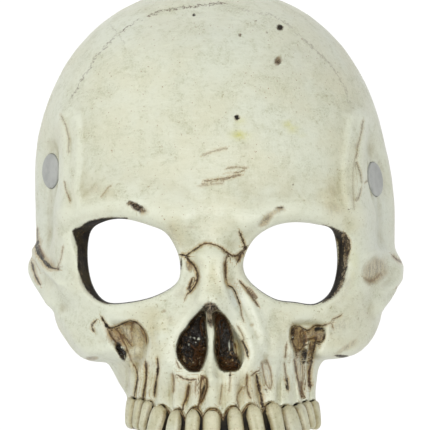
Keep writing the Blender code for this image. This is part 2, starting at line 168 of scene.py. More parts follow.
def face_row(y):
    """A row across the face at the height y, from one rear edge round to the other."""
    rows = np.array(FACE_SECTIONS[::-1])
    width, front, rear, shift = (float(smooth_curve(rows[:, 0], rows[:, k], y)) for k in range(1, 5))
    start = math.asin((rear / front) ** (ROUNDNESS / 2))
    angle = np.linspace(math.pi - start, start, ROW_POINTS)
    across = np.cos(angle)
    x = width * np.sign(across) * np.abs(across) ** (2 / ROUNDNESS)
    z = front * np.abs(np.sin(angle)) ** (2 / ROUNDNESS)
    z[[0, -1]] = rear
    return np.stack((x + shift, np.full_like(x, y), z), -1)


def dome_row(lift):
    """A row over the dome: lift 0 runs across the eye line and lift 1 along the crown's rim."""
    rise, turn = lift * math.pi / 2, lift * RIM_CORNER
    front = np.array((0.0, CROWN * math.sin(rise), FRONT * math.cos(rise)))
    side = np.array((HALF_WIDTH * math.cos(turn), CROWN * math.sin(turn), 0.0))
    angle = np.linspace(-math.pi / 2, math.pi / 2, ROW_POINTS)[:, None]
    ends = np.where(angle < 0, side * (-1, 1, 1), side)
    points = front * np.cos(angle) + ends * np.abs(np.sin(angle))
    size = (np.abs(points / (HALF_WIDTH, CROWN, FRONT)) ** ROUNDNESS).sum(-1) ** (1 / ROUNDNESS)
    return points / size[:, None]


def spread(row, columns):
    """The row again with evenly spaced columns, which are closer in the middle of the face."""
    step = np.linalg.norm(np.diff(row, axis=0), axis=1)
    middle = (row[1:] + row[:-1])[:, 0] / 2
    step *= 1 + (MID_FACE_DENSITY - 1) * smooth_step(2 - np.abs(middle) / MID_FACE)
    along = np.concatenate(([0], np.cumsum(step)))
    at = np.linspace(0, along[-1], columns)
    return np.stack([np.interp(at, along, row[:, k]) for k in range(3)], -1)


def plain_form(columns, face_rows, dome_rows):
    """The plain form of the mask as rows of points, from the jaw edge up to the crown's rim."""
    rows = [spread(face_row(y), columns) for y in np.linspace(JAW_EDGE, 0, face_rows)]
    rows += [spread(dome_row(lift), columns) for lift in np.linspace(0, 1, dome_rows + 1)[1:]]
    grid = np.array(rows)
    x, y = grid[..., 0], grid[..., 1]
    jaw = np.clip((JAW_RISE_FROM - y) / (JAW_RISE_FROM - JAW_EDGE), 0, 1)
    grid[..., 0] = x + CROWN_SHIFT * smooth_step(y / CROWN_SHIFT_OVER)
    grid[..., 1] = y + JAW_RISE * jaw * np.clip(x / FACE_SECTIONS[-1][1], -1, 1) ** 2
    cheek = smooth_step(x / CHEEK_BLEND - CHEEK_START)
    grid[..., 1] += CHEEK_LIFT * (bell((y - CHEEK_END) / CHEEK_REACH) * cheek)
    return grid


def unit(vectors):
    """The vectors at a length of one."""
    return vectors / np.maximum(np.linalg.norm(vectors, axis=-1, keepdims=True), 1e-9)


def outward(grid, level_at_rim=True):
    """The outward direction at each point, which can turn level along the rear edge."""
    normal = np.cross(np.gradient(grid, axis=1), np.gradient(grid, axis=0))
    for side, beside in ((0, 1), (-1, -2)):
        normal[-1, side] = normal[-1, beside] + normal[-2, side]
    if level_at_rim:
        normal = unit(normal)
        normal[..., 2] *= smooth_step((grid[..., 2] - grid[:, :1, 2]) / RIM_BAND)
    return unit(normal)


# %% [markdown]
# ## Forms of the face
# A skull's forms are of three kinds: rounded rises, ridges that follow a line, and hollows
# inside an outline. Each is one row of a table, in millimetres seen from the front.

# %% Tables of the broad forms
# middle x, middle y, reach x, reach y, height
FRONT_BUMPS = (
    (0, 3, 17, 11, 2.6),
    (0, -14.5, 15, 5, -3.2),
    (-38, -21, 25, 19, -4),
    (36, -21, 25, 19, -4),
    (0, -86, 30, 16, 1.5),
)
# reach, height, points of the line
FRONT_RIDGES = (
    (9, 9.5, ((-1.5, -19), (-1.5, -27), (-1.8, -37.5))),
    (12, 4.5, ((-16, -41), (-19, -54), (-19, -66), (-8, -77))),
    (12, 4.5, ((12, -41), (17, -54), (17, -66), (5, -77))),
    (8, 3.6, ((-15, -2), (-28, 2.5), (-44, 4), (-58, 1))),
    (8, 3.6, ((13, -2.5), (26, 1.5), (42, 2.5), (56, -0.5))),
    (2.6, 3.4, ((-2, -44), (-1.6, -58), (-2.2, -74))),
)
CORNER_RIDGES = (
    (5.5, 2.2, ((-70, 45), (-68.5, 30), (-67, 12), (-68, 2))),
    (5.5, 2.2, ((68, 44), (66, 30), (65, 12), (65.5, 2))),
    (7, 2.6, ((-69, -4), (-69.5, -18), (-68, -32))),
    (7, 2.6, ((66.5, -5), (67.5, -18), (66.5, -32))),
    (12, 3.4, ((-62, -42), (-64, -52), (-61, -62))),
    (12, 3.4, ((61, -42), (64, -52), (61, -60))),
)
# the side walls, as seen from the side: reach, height, points (y, z)
SIDE_RIDGES = (
    (10, -4.5, ((30, 40), (8, 38), (-8, 36))),
    (6.5, 5, ((-42, 40), (-34, 26), (-27, 12), (-25, 0))),
)
SIDE_FROM, SIDE_BLEND = 66.0, 10.0
STUD_SEATS = ((-1, 21, 35), (1, 17, 36))
BOSS, BOSS_RADIUS = 2.4, 13.0


def distance_to_line(a, b, line, signed=False):
    """The distance from each point (a, b) to a line; a signed one is negative on its right."""
    line = np.array(line, float)
    best, side = np.full(a.shape, np.inf), np.ones(a.shape)
    for (x0, y0), (x1, y1) in zip(line[:-1], line[1:]):
        dx, dy = x1 - x0, y1 - y0
        t = np.clip(((a - x0) * dx + (b - y0) * dy) / (dx * dx + dy * dy), 0, 1)
        gap = np.hypot(a - x0 - t * dx, b - y0 - t * dy)
        if signed:
            side = np.where(gap < best, np.sign((a - x0) * dy - (b - y0) * dx), side)
        best = np.minimum(best, gap)
    return best * side if signed else best


def closed_outline(corners, per_corner=6):
    """A smooth closed line through the corners, as points."""
    p = np.array(corners, float)
    before, after, last = np.roll(p, 1, 0), np.roll(p, -1, 0), np.roll(p, -2, 0)
    points = []
    for t in np.arange(per_corner) / per_corner:
        points.append(
            0.5 * (2 * p + (after - before) * t + (2 * before - 5 * p + 4 * after - last) * t**2
                   + (3 * p - before - 3 * after + last) * t**3)
        )
    return np.stack(points, 1).reshape(-1, 2)


def distance_inside(a, b, corners, per_corner=6):
    """How far each point is inside a closed outline; outside it the distance is negative."""
    line = closed_outline(corners, per_corner)
    line = np.concatenate((line, line[:1]))
    inside = np.zeros(a.shape, bool)
    for (x0, y0), (x1, y1) in zip(line[:-1], line[1:]):
        if y0 != y1:
            inside ^= ((b < y0) != (b < y1)) & (a < x0 + (b - y0) * (x1 - x0) / (y1 - y0))
    return np.where(inside, 1, -1) * distance_to_line(a, b, line)


def ridges(a, b, table, widest_left_out=0.0):
    """The summed heights of a table's ridges at the points (a, b)."""
    total = np.zeros(a.shape)
    for reach, height, line in table:
        if reach > widest_left_out:
            total += height * bell(distance_to_line(a, b, line) / reach)
    return total


# %% Outlines of the hollows
LEFT_EYE = (
    (-58.4, -8), (-52, -3.2), (-42, -1.8), (-30, -4.8), (-21.8, -9), (-16.4, -20), (-17.2, -30.5),
    (-27, -37.2), (-40, -40.6), (-51, -40.6), (-57.6, -33), (-60, -20),
)
RIGHT_EYE = (
    (55.2, -7.8), (47, -4.3), (35, -3.4), (25, -5.9), (17, -12.2), (12.9, -22.5), (16.4, -31),
    (27, -38.6), (37, -40.5), (47, -41.3), (54.6, -35), (57.5, -22),
)
LEFT_SOCKET = (
    (-65.6, -6.6), (-52.8, -1.2), (-41, -0.6), (-29, -3.8), (-20.5, -8.4), (-15.2, -20), (-16.4, -31.4),
    (-27, -38.4), (-40, -41.8), (-52, -41.8), (-61.2, -33.2), (-64.2, -21),
)
RIGHT_SOCKET = (
    (60.6, -8.6), (48.5, -2.9), (35, -2.2), (24.2, -4.8), (15.8, -11.6), (11.6, -22.5), (15.6, -32.2),
    (27, -39.8), (37, -41.7), (48, -42.5), (58.4, -34.6), (62.2, -20),
)
LEFT_NOSTRIL = (
    (-3.4, -41), (-9.6, -47.5), (-15.6, -54.5), (-17.2, -63), (-13.6, -70), (-7.4, -70.4), (-4.2, -62),
    (-3.8, -50),
)
RIGHT_NOSTRIL = (
    (-0.6, -41), (4.6, -46.5), (10.8, -54.5), (13.6, -63.5), (11.2, -70), (4, -70.8), (0.2, -62),
    (-0.4, -50),
)
LEFT_HOLLOW = ((-48.5, -50), (-38, -50.5), (-31, -57), (-34, -70), (-42.5, -66))
RIGHT_HOLLOW = ((35, -49.5), (49.5, -49.5), (50, -57), (44.5, -68), (38, -64))
# outline, depth, slope of the sides, how far inside the outline the side starts
HOLLOWS = (
    (LEFT_SOCKET, 9, 5, 0),
    (RIGHT_SOCKET, 9, 5, 0),
    (LEFT_NOSTRIL, 10, 2.6, 0),
    (RIGHT_NOSTRIL, 10, 2.6, 0),
    (LEFT_HOLLOW, 4, 4.5, 0.3),
    (RIGHT_HOLLOW, 4, 4.5, 0.3),
)
EYE_WALL, EYE_WALL_REACH = 4.5, 5.0
GUM_LINE, GUM_STEP, GUM_SLOPE = -89.5, 2.6, 2.4


def broad_relief(grid, grown=0.0):
    """The plain form with the face's forms raised and sunk; grown widens the sunk ones."""
    x, y, z = grid[..., 0], grid[..., 1], grid[..., 2]
    out = ridges(x, y, FRONT_RIDGES, grown)
    for cx, cy, reach_x, reach_y, height in FRONT_BUMPS:
        out += height * np.exp(-(((x - cx) / reach_x) ** 2) - ((y - cy) / reach_y) ** 2)
    for corners, depth, slope, start in HOLLOWS:
        out -= depth * smooth_step(start + (distance_inside(x, y, corners) + grown) / slope)
    side = smooth_step((np.abs(x) - SIDE_FROM) / SIDE_BLEND)
    along = ridges(x, y, CORNER_RIDGES, grown) + side * ridges(y, z, SIDE_RIDGES, grown)
    if grown:
        along -= GUM_STEP * smooth_step((GUM_LINE + grown - y) / GUM_SLOPE)
    raised = grid + outward(grid) * along[..., None]
    raised[..., 2] += out
    return raised


def keep_rim_flat(grid, base):
    """The grid with its rear and jaw edges back in their planes, and nothing behind them."""
    grid[..., 2] = np.maximum(grid[..., 2], base[:, :1, 2])
    for edge in (np.s_[:, 0], np.s_[:, -1], np.s_[-1, :]):
        grid[edge][..., 2] = base[edge][..., 2]
    grid[0, :, 1] = base[0, :, 1]
    return grid


# %% [markdown]
# ## Fine forms
# The small forms are placed by where the photograph shows them, in pixels of its 430 px frame.
# The same tables also say where the brown stain lies, because on the real mask the stain is
# wiped on and stays in what is sunk.

# %% The teeth's places, which also shape the edge of the gum
# left and right edge at the neck, left and right edge 22 px lower, top of the neck, length in mm
TEETH_PX = (
    (127, 135.8, 125.5, 133.4, 398.5, 14.8),
    (135.8, 144.6, 133.4, 140.4, 399, 15.2),
    (144.6, 153.7, 140.4, 147.6, 400.5, 15.6),
    (153.7, 169.8, 147.6, 163.6, 405, 16.4),
    (170.8, 184.4, 165.6, 182, 409, 15.6),
    (187, 202.3, 185, 200.8, 407.5, 16.6),
    (203.3, 222, 201.6, 221.8, 408, 17.2),
    (225, 241.2, 226, 245.4, 406, 17.2),
    (242.6, 259.6, 247.6, 264.4, 404, 17.6),
    (263.2, 279.2, 268.4, 284.4, 402.5, 17.2),
    (279.6, 293.7, 285.4, 301.8, 405.5, 15.6),
    (293.7, 303.5, 301, 309.4, 404, 15.2),
    (303.5, 310.5, 309.4, 315.4, 401.5, 14.9),
    (310.5, 318.5, 315.4, 319.5, 401, 14.7),
)
NECK_TO_LOW_PX, GUM_END_PX, SCALLOP = 22.0, 399.0, 2.1
PAPILLA = (3.5, 5, 6, 8, 8.5, 8, 8.5, 8.5, 8, 7, 5.5, 5, 4, 3.5)


def gum_edge(px):
    """The height in the picture of the scalloped edge of the gum above the teeth."""
    edge = np.full(px.shape, np.inf)
    for (left, right, _, _, top, _), drop in zip(TEETH_PX, PAPILLA):
        middle, half = (left + right) / 2, (right - left) / 2
        edge = np.minimum(edge, top + drop * (np.abs(px - middle) / half) ** SCALLOP)
    return np.where((px < TEETH_PX[0][0]) | (px > TEETH_PX[-1][1]), GUM_END_PX, edge)


# %% Hollows, pits and cracks, in pixels
# corners, feather in px, brown wash, dark ink, depth in mm
AREAS = (
    # the nose opening: its dark halves, the olive place where they meet and the tan right wall
    (((204, 308), (201, 310), (196, 315), (190, 321), (187, 327), (181, 334), (178, 341), (176, 350),
     (178, 359), (184, 366), (188, 370), (194, 372), (200, 370), (203, 364), (206, 355), (207, 345),
     (206.5, 335), (205.5, 325), (205, 317)), 1.3, 1, 0.66, 1.6),
    (((207, 309), (205, 316), (205.5, 325), (204, 334), (203, 345), (201, 352), (197, 356), (192, 358),
     (187, 357), (182.5, 352), (181, 346), (183, 339), (187, 331), (191, 324), (197, 317), (203, 310)),
     1.6, 1, 1, 0),
    (((213.5, 314), (214, 324), (215.5, 334), (214.5, 344), (215, 354), (218, 364), (221, 369.5),
     (229, 371.5), (237, 370), (241, 364), (238, 357), (234, 351), (233.5, 340), (232, 330), (228, 321),
     (222, 314), (219, 311), (216, 312)), 1.3, 1, 0.66, 1.6),
    (((215, 316), (219, 312), (226, 321), (230, 331), (231.5, 341), (231, 350), (228, 356), (222, 357),
     (218, 352), (217, 343), (217, 330), (215.5, 322)), 1.6, 1, 1, 0),
    (((202, 309), (205, 303.5), (210, 301.6), (215, 304), (219, 310), (215, 316), (213, 326),
     (210, 327), (205, 318), (206, 312)), 1.2, 0.9, 0.5, 0),
    (((220, 312), (228, 321), (232, 330), (234, 350), (241, 364), (246, 360), (247, 350), (244, 341),
     (237, 330), (228, 319)), 1.6, 0.22, 0, 0),
    # the hollow and the pit under the left cheekbone
    (((103.5, 322), (106.5, 327), (112, 328), (118, 326), (124, 323), (130, 320.5), (136, 322),
     (140.5, 326), (145, 334), (147, 343), (142, 348), (135, 347), (128, 350), (122, 348), (116, 349),
     (110, 341), (105, 332)), 2.6, 0.62, 0, 1.2),
    (((128, 345), (146, 338), (149, 350), (146, 362), (140, 372), (132, 375), (126, 371), (125, 358)),
     6, 0.42, 0, 0),
    (((106, 328), (116, 328), (122, 332), (125, 340), (122, 347), (114, 346), (108, 338)), 2.6, 0.9, 0,
     0.6),
    (((116.5, 342.5), (120, 343.5), (122.5, 348), (126, 351.5), (126, 356), (124.5, 361), (121, 358.5),
     (117.5, 352.5), (115.5, 348)), 1.1, 1, 1, 2.4),
    (((139, 324.5), (142, 328), (145.5, 335), (146, 341), (143.5, 338), (140.5, 332)), 1, 0.95, 0, 0.4),
    (((120, 326.5), (126, 322.5), (133, 321), (138, 323.5), (132, 324.8), (125, 326.5)), 0.9, 1, 0.3,
     0.4),
    # the hollow under the right cheekbone: two lobes, the pit, the groove and the streaks below
    (((290.5, 337), (291.5, 330), (294.5, 326), (300, 327), (306, 330), (307, 337), (306, 345),
     (300, 352), (297, 357), (294, 350), (291.5, 343)), 1.6, 0.85, 0.05, 1.4),
    (((307, 331), (312, 328), (316, 325.5), (322, 327), (324.5, 332), (324, 338), (321, 342),
     (315, 341), (310, 340)), 1.5, 0.85, 0.05, 1.2),
    (((303, 350), (305.5, 348.5), (307.5, 351), (306.5, 357), (305, 363), (303.5, 365), (302, 361)),
     0.9, 1, 1, 2.4),
    (((310, 340), (316, 339), (315, 347), (312.5, 356), (311.5, 368), (311, 379), (309.5, 386),
     (307.5, 380), (307.5, 369), (308.5, 356)), 1.5, 0.72, 0, 0.9),
    (((294, 348), (302, 348), (304, 364), (303, 378), (304, 392), (301, 397), (298.5, 388), (296, 375),
     (294, 362)), 2.4, 0.5, 0, 0.4),
    (((315, 327.2), (322, 327), (324.5, 331), (319, 330), (315, 331)), 0.9, 1, 0.9, 0.6),
    (((326, 327), (334, 321), (345, 317), (350, 325), (344, 332), (332, 336), (326, 334)), 4, 0.24, 0,
     0),
    # the walls of the eye openings at their outer sides
    (((72.5, 231), (79, 227.5), (88, 222.5), (100, 219), (112, 217.6), (128, 218.2), (116, 221.5),
     (102, 223.5), (93, 229), (89, 238), (87, 261), (91, 283), (98, 294), (110, 304), (97, 300),
     (86, 289), (79, 273), (77.5, 262), (77, 246)), 1.1, 1, 0.72, 0),
    (((84, 224), (100, 218.6), (112, 217.4), (128, 218.2), (116, 222), (102, 224), (93, 230), (90, 240),
     (88, 262), (92, 284), (99, 295), (110, 304), (97, 300), (88, 290), (83, 276), (82, 262),
     (82.5, 240)), 1.1, 1, 1, 0),
    (((322, 224.5), (336, 229), (345, 234), (349.5, 244), (348.5, 255), (346.5, 271), (342.5, 286),
     (333, 297), (322, 303), (329, 294), (334, 283), (338, 262), (338, 246), (334, 235)), 1.2, 0.92,
     0.5, 0),
    (((330, 226.5), (338, 231), (342.5, 240), (343.5, 256), (341, 272), (337, 288), (330, 297),
     (322, 303), (329, 292), (334, 281), (338, 262), (338, 246), (335, 236)), 1.2, 1, 1, 0),
    # the brow's wounds
    (((126.5, 203), (130, 200.5), (136, 203), (142, 206), (146, 211.5), (140, 212), (134, 209)), 0.9, 1,
     0.5, 0.8),
    (((131, 206), (141, 206), (149, 213), (140, 215)), 2.2, 0.62, 0, 0),
    (((259, 226), (262, 219), (268, 213), (277, 209.5), (286, 208), (284, 211.5), (276, 213),
     (271, 219.5), (266, 226)), 2.2, 0.72, 0, 0.8),
    (((271, 210), (276, 207.5), (284, 206.6), (283, 208), (276, 209.2), (272, 211)), 0.8, 1, 0.62, 0.3),
    # the notches beside the nose bones
    (((186, 260), (190, 261), (193, 266), (191, 272), (187, 270), (185.5, 264)), 1.4, 0.85, 0.2, 0.7),
    (((190.5, 279), (193, 279), (191.5, 286), (188, 291), (187, 287)), 1.2, 0.8, 0.2, 0.5),
    (((192, 262), (197, 267), (198.5, 276), (195.5, 287), (190, 293), (193, 284), (194.5, 275)), 1.6,
     0.6, 0, 0.5),
    (((241.5, 283), (247, 288), (254, 294), (257, 302), (250, 297), (244, 290)), 1.2, 0.66, 0, 0.5),
    (((235, 258), (240, 254), (246, 249), (242, 259), (238, 263)), 1.6, 0.85, 0.2, 0.5),
    (((223, 262), (226.5, 262), (226, 276), (228.5, 286), (225, 283), (223, 272)), 1.2, 0.6, 0, 0.4),
    # the brown dimple behind the right cheekbone
    (((365, 280), (364, 268), (370, 262), (377, 257.5), (385, 262), (387, 274), (380, 281), (371, 285)),
     3, 0.56, 0, 1),
    # the undersides of the cheeks
    (((85, 357.2), (92, 356.5), (99, 357), (96, 360), (89, 361)), 1.2, 0.75, 0.1, 0),
    (((334, 354), (340, 349), (350, 342), (356, 339), (355, 345), (347, 350)), 1.8, 0.5, 0, 0.5),
    (((334, 354.2), (342, 355), (350, 356.5), (345, 358), (337, 357)), 0.9, 0.9, 0.7, 0),
    # stain over the roots of the teeth
    (((200, 377), (206, 377), (208, 386), (205, 397), (200, 408), (199, 398), (201, 388)), 1.3, 0.7, 0,
     0.7),
    (((245.5, 375), (249, 375), (249, 385), (247, 388)), 1.2, 0.55, 0, 0.3),
    (((171, 374), (175, 376), (175, 390), (172, 390)), 1.8, 0.4, 0, 0.2),
    (((186, 385), (190, 388), (187, 398), (183, 408), (184, 396)), 1.3, 0.55, 0, 0.4),
    (((261, 362), (268, 360), (272, 372), (272, 386), (267, 388), (262, 376)), 2.2, 0.3, 0, 0.3),
)
# middle, reach across and down, turn in degrees, feather, brown wash, dark ink, depth in mm
SPOTS = (
    (280, 27.5, 3.2, 2.8, 20, 1, 1, 1, 0.6),
    (240, 35, 1.8, 1.5, 0, 0.8, 0.9, 0.5, 0.3),
    (267, 32, 1, 0.9, 0, 0.8, 0.9, 0.7, 0.2),
    (256, 21, 1.4, 0.8, 0, 0.8, 0.8, 0.4, 0.2),
    (278, 61, 3.6, 4.6, 30, 1.2, 0.9, 0.4, 0.5),
    (237, 117.5, 3.2, 2.6, 0, 1.6, 0.65, 0, -0.3),
    (237, 117.5, 2.9, 2.5, 0, 0.7, 1, 1, 0.8),
    (194, 15, 1.6, 1.3, 0, 0.7, 1, 0.9, 0.2),
    (293, 185, 0.8, 0.8, 0, 0.5, 0.9, 0.8, 0.2),
    (324, 170, 0.9, 0.8, 0, 0.5, 0.9, 0.8, 0.2),
    (164, 311, 2.4, 1.8, 0, 1, 0.55, 0, 0.3),
    (170, 319, 2.4, 4.4, 10, 1.6, 0.34, 0, 0.2),
    (252, 325, 2, 1.6, 0, 1, 0.6, 0, 0.2),
    (249.5, 309, 1, 0.9, 0, 0.6, 0.8, 0.5, 0.2),
    (210.5, 247.5, 1.2, 1, 0, 0.6, 0.8, 0.2, 0.2),
    (245.5, 248, 1.4, 1.8, 30, 0.7, 1, 1, 0.3),
    (226, 264, 1, 2, 20, 0.7, 1, 0.8, 0.3),
    (181, 264, 1, 6, 0, 0.8, 1, 0.95, 0),
    (230, 375, 1.3, 1.2, 0, 0.6, 1, 1, 0.5),
    (307.5, 362.5, 1, 1, 0, 0.6, 1, 1, 0.3),
    (266, 390, 1.3, 0.9, 30, 0.6, 1, 0.9, 0.3),
    (286.5, 387, 1, 2.4, -12, 0.6, 1, 0.8, 0.3),
    (292, 332, 1.4, 4, -12, 0.7, 1, 0.85, 0.6),
    (292.5, 338.5, 1.6, 2, 0, 0.7, 1, 0.7, 0.6),
    (324, 336, 1.2, 3, 10, 0.7, 1, 0.7, 0.4),
    (106.5, 325.5, 1.8, 2.4, -30, 0.7, 1, 0.95, 0.4),
    (103, 320, 1, 2.6, -30, 0.6, 0.8, 0.7, 0.2),
    (157.5, 371, 1.2, 4, 0, 0.7, 1, 0.75, 0.4),
    (155, 388, 1, 6, 8, 0.7, 0.9, 0.7, 0.3),
    (203, 391, 1.3, 7, 16, 0.8, 1, 0.7, 0.6),
    (95, 189, 6, 4, -30, 3, 0.3, 0, 0),
    (106, 192, 2, 5, 20, 2, 0.25, 0, 0),
    (332, 209, 10, 7, 10, 5, 0.28, 0, 0),
    (332, 190, 4, 9, 0, 4, 0.24, 0, 0),
    (356, 146, 2.2, 3, 0, 2, 0.45, 0, 0),
    (245, 147, 6, 2, -6, 2.5, 0.22, 0, 0),
    (191, 227, 6, 1.2, 0, 1.2, 0.4, 0, 0),
    (173, 235, 3.5, 11, -24, 3, 0.34, 0, 0),
    (180, 246, 4, 9, -30, 3.5, 0.3, 0, 0),
    (205, 242, 6, 2.4, -12, 2, 0.34, 0, 0),
    (202, 264, 3, 5, 0, 2.5, 0.26, 0, 0),
    (182, 292, 6, 8, 40, 4, 0.22, 0, 0),
    (249, 252, 3, 8, 38, 2.5, 0.34, 0, 0),
    (240, 268, 2.5, 8, -10, 2.5, 0.3, 0, 0),
    (345, 262, 4, 22, 3, 4, 0.3, 0, 0),
    (381, 267, 4, 8, 20, 3, 0.5, 0, 0),
    # painted shade: a soft olive wash by the lower outer edge of each eye socket
    (84, 286, 4, 15, -35, 4, 0.32, 0, 0),
    (346, 286, 4, 14, 30, 4, 0.3, 0, 0),
    (100, 214, 22, 3, -14, 3, 0.2, 0, 0),
    (372, 281, 5, 2.6, 20, 2, 0.4, 0.1, 0.3),
    (53, 262, 5, 4, 0, 3, 0.26, 0, 0),
    (150, 345, 5, 22, 4, 6, 0.22, 0, 0),
    (128, 384, 8, 14, -20, 7, 0.2, 0, 0),
    (312, 350, 10, 30, 8, 8, 0.24, 0, 0),
    (189, 388, 13, 12, 0, 7, 0.26, 0, 0),
    (243, 388, 14, 14, 0, 8, 0.28, 0, 0),
    (153, 388, 20, 10, 0, 8, 0.16, 0, 0),
)
# painted glints: white flecks on the dark stain that stand in for highlights on its varnish: middle, reach
# across and down, turn
PAINTED_GLINT_SPOTS = (
    (190.5, 337, 0.9, 0.8, 0), (194.5, 338.2, 1.1, 0.8, 20), (198.6, 338.6, 1.5, 1.1, -20),
    (201.4, 341.2, 1, 0.8, 0), (205, 337, 0.8, 0.8, 0), (189, 344.5, 0.8, 1, 0),
    (196, 342.6, 0.6, 0.6, 0), (229.2, 346, 0.7, 4.6, -3), (222.5, 354.5, 0.9, 0.8, 0),
    (121.6, 347.4, 0.7, 1.8, -20), (113.6, 342.4, 0.7, 2.2, -26), (292.5, 337, 0.8, 0.7, 0),
    (303.6, 358, 0.7, 3, 0), (43.5, 259, 0.7, 0.6, 0), (135.5, 206.4, 0.8, 0.6, 20),
)
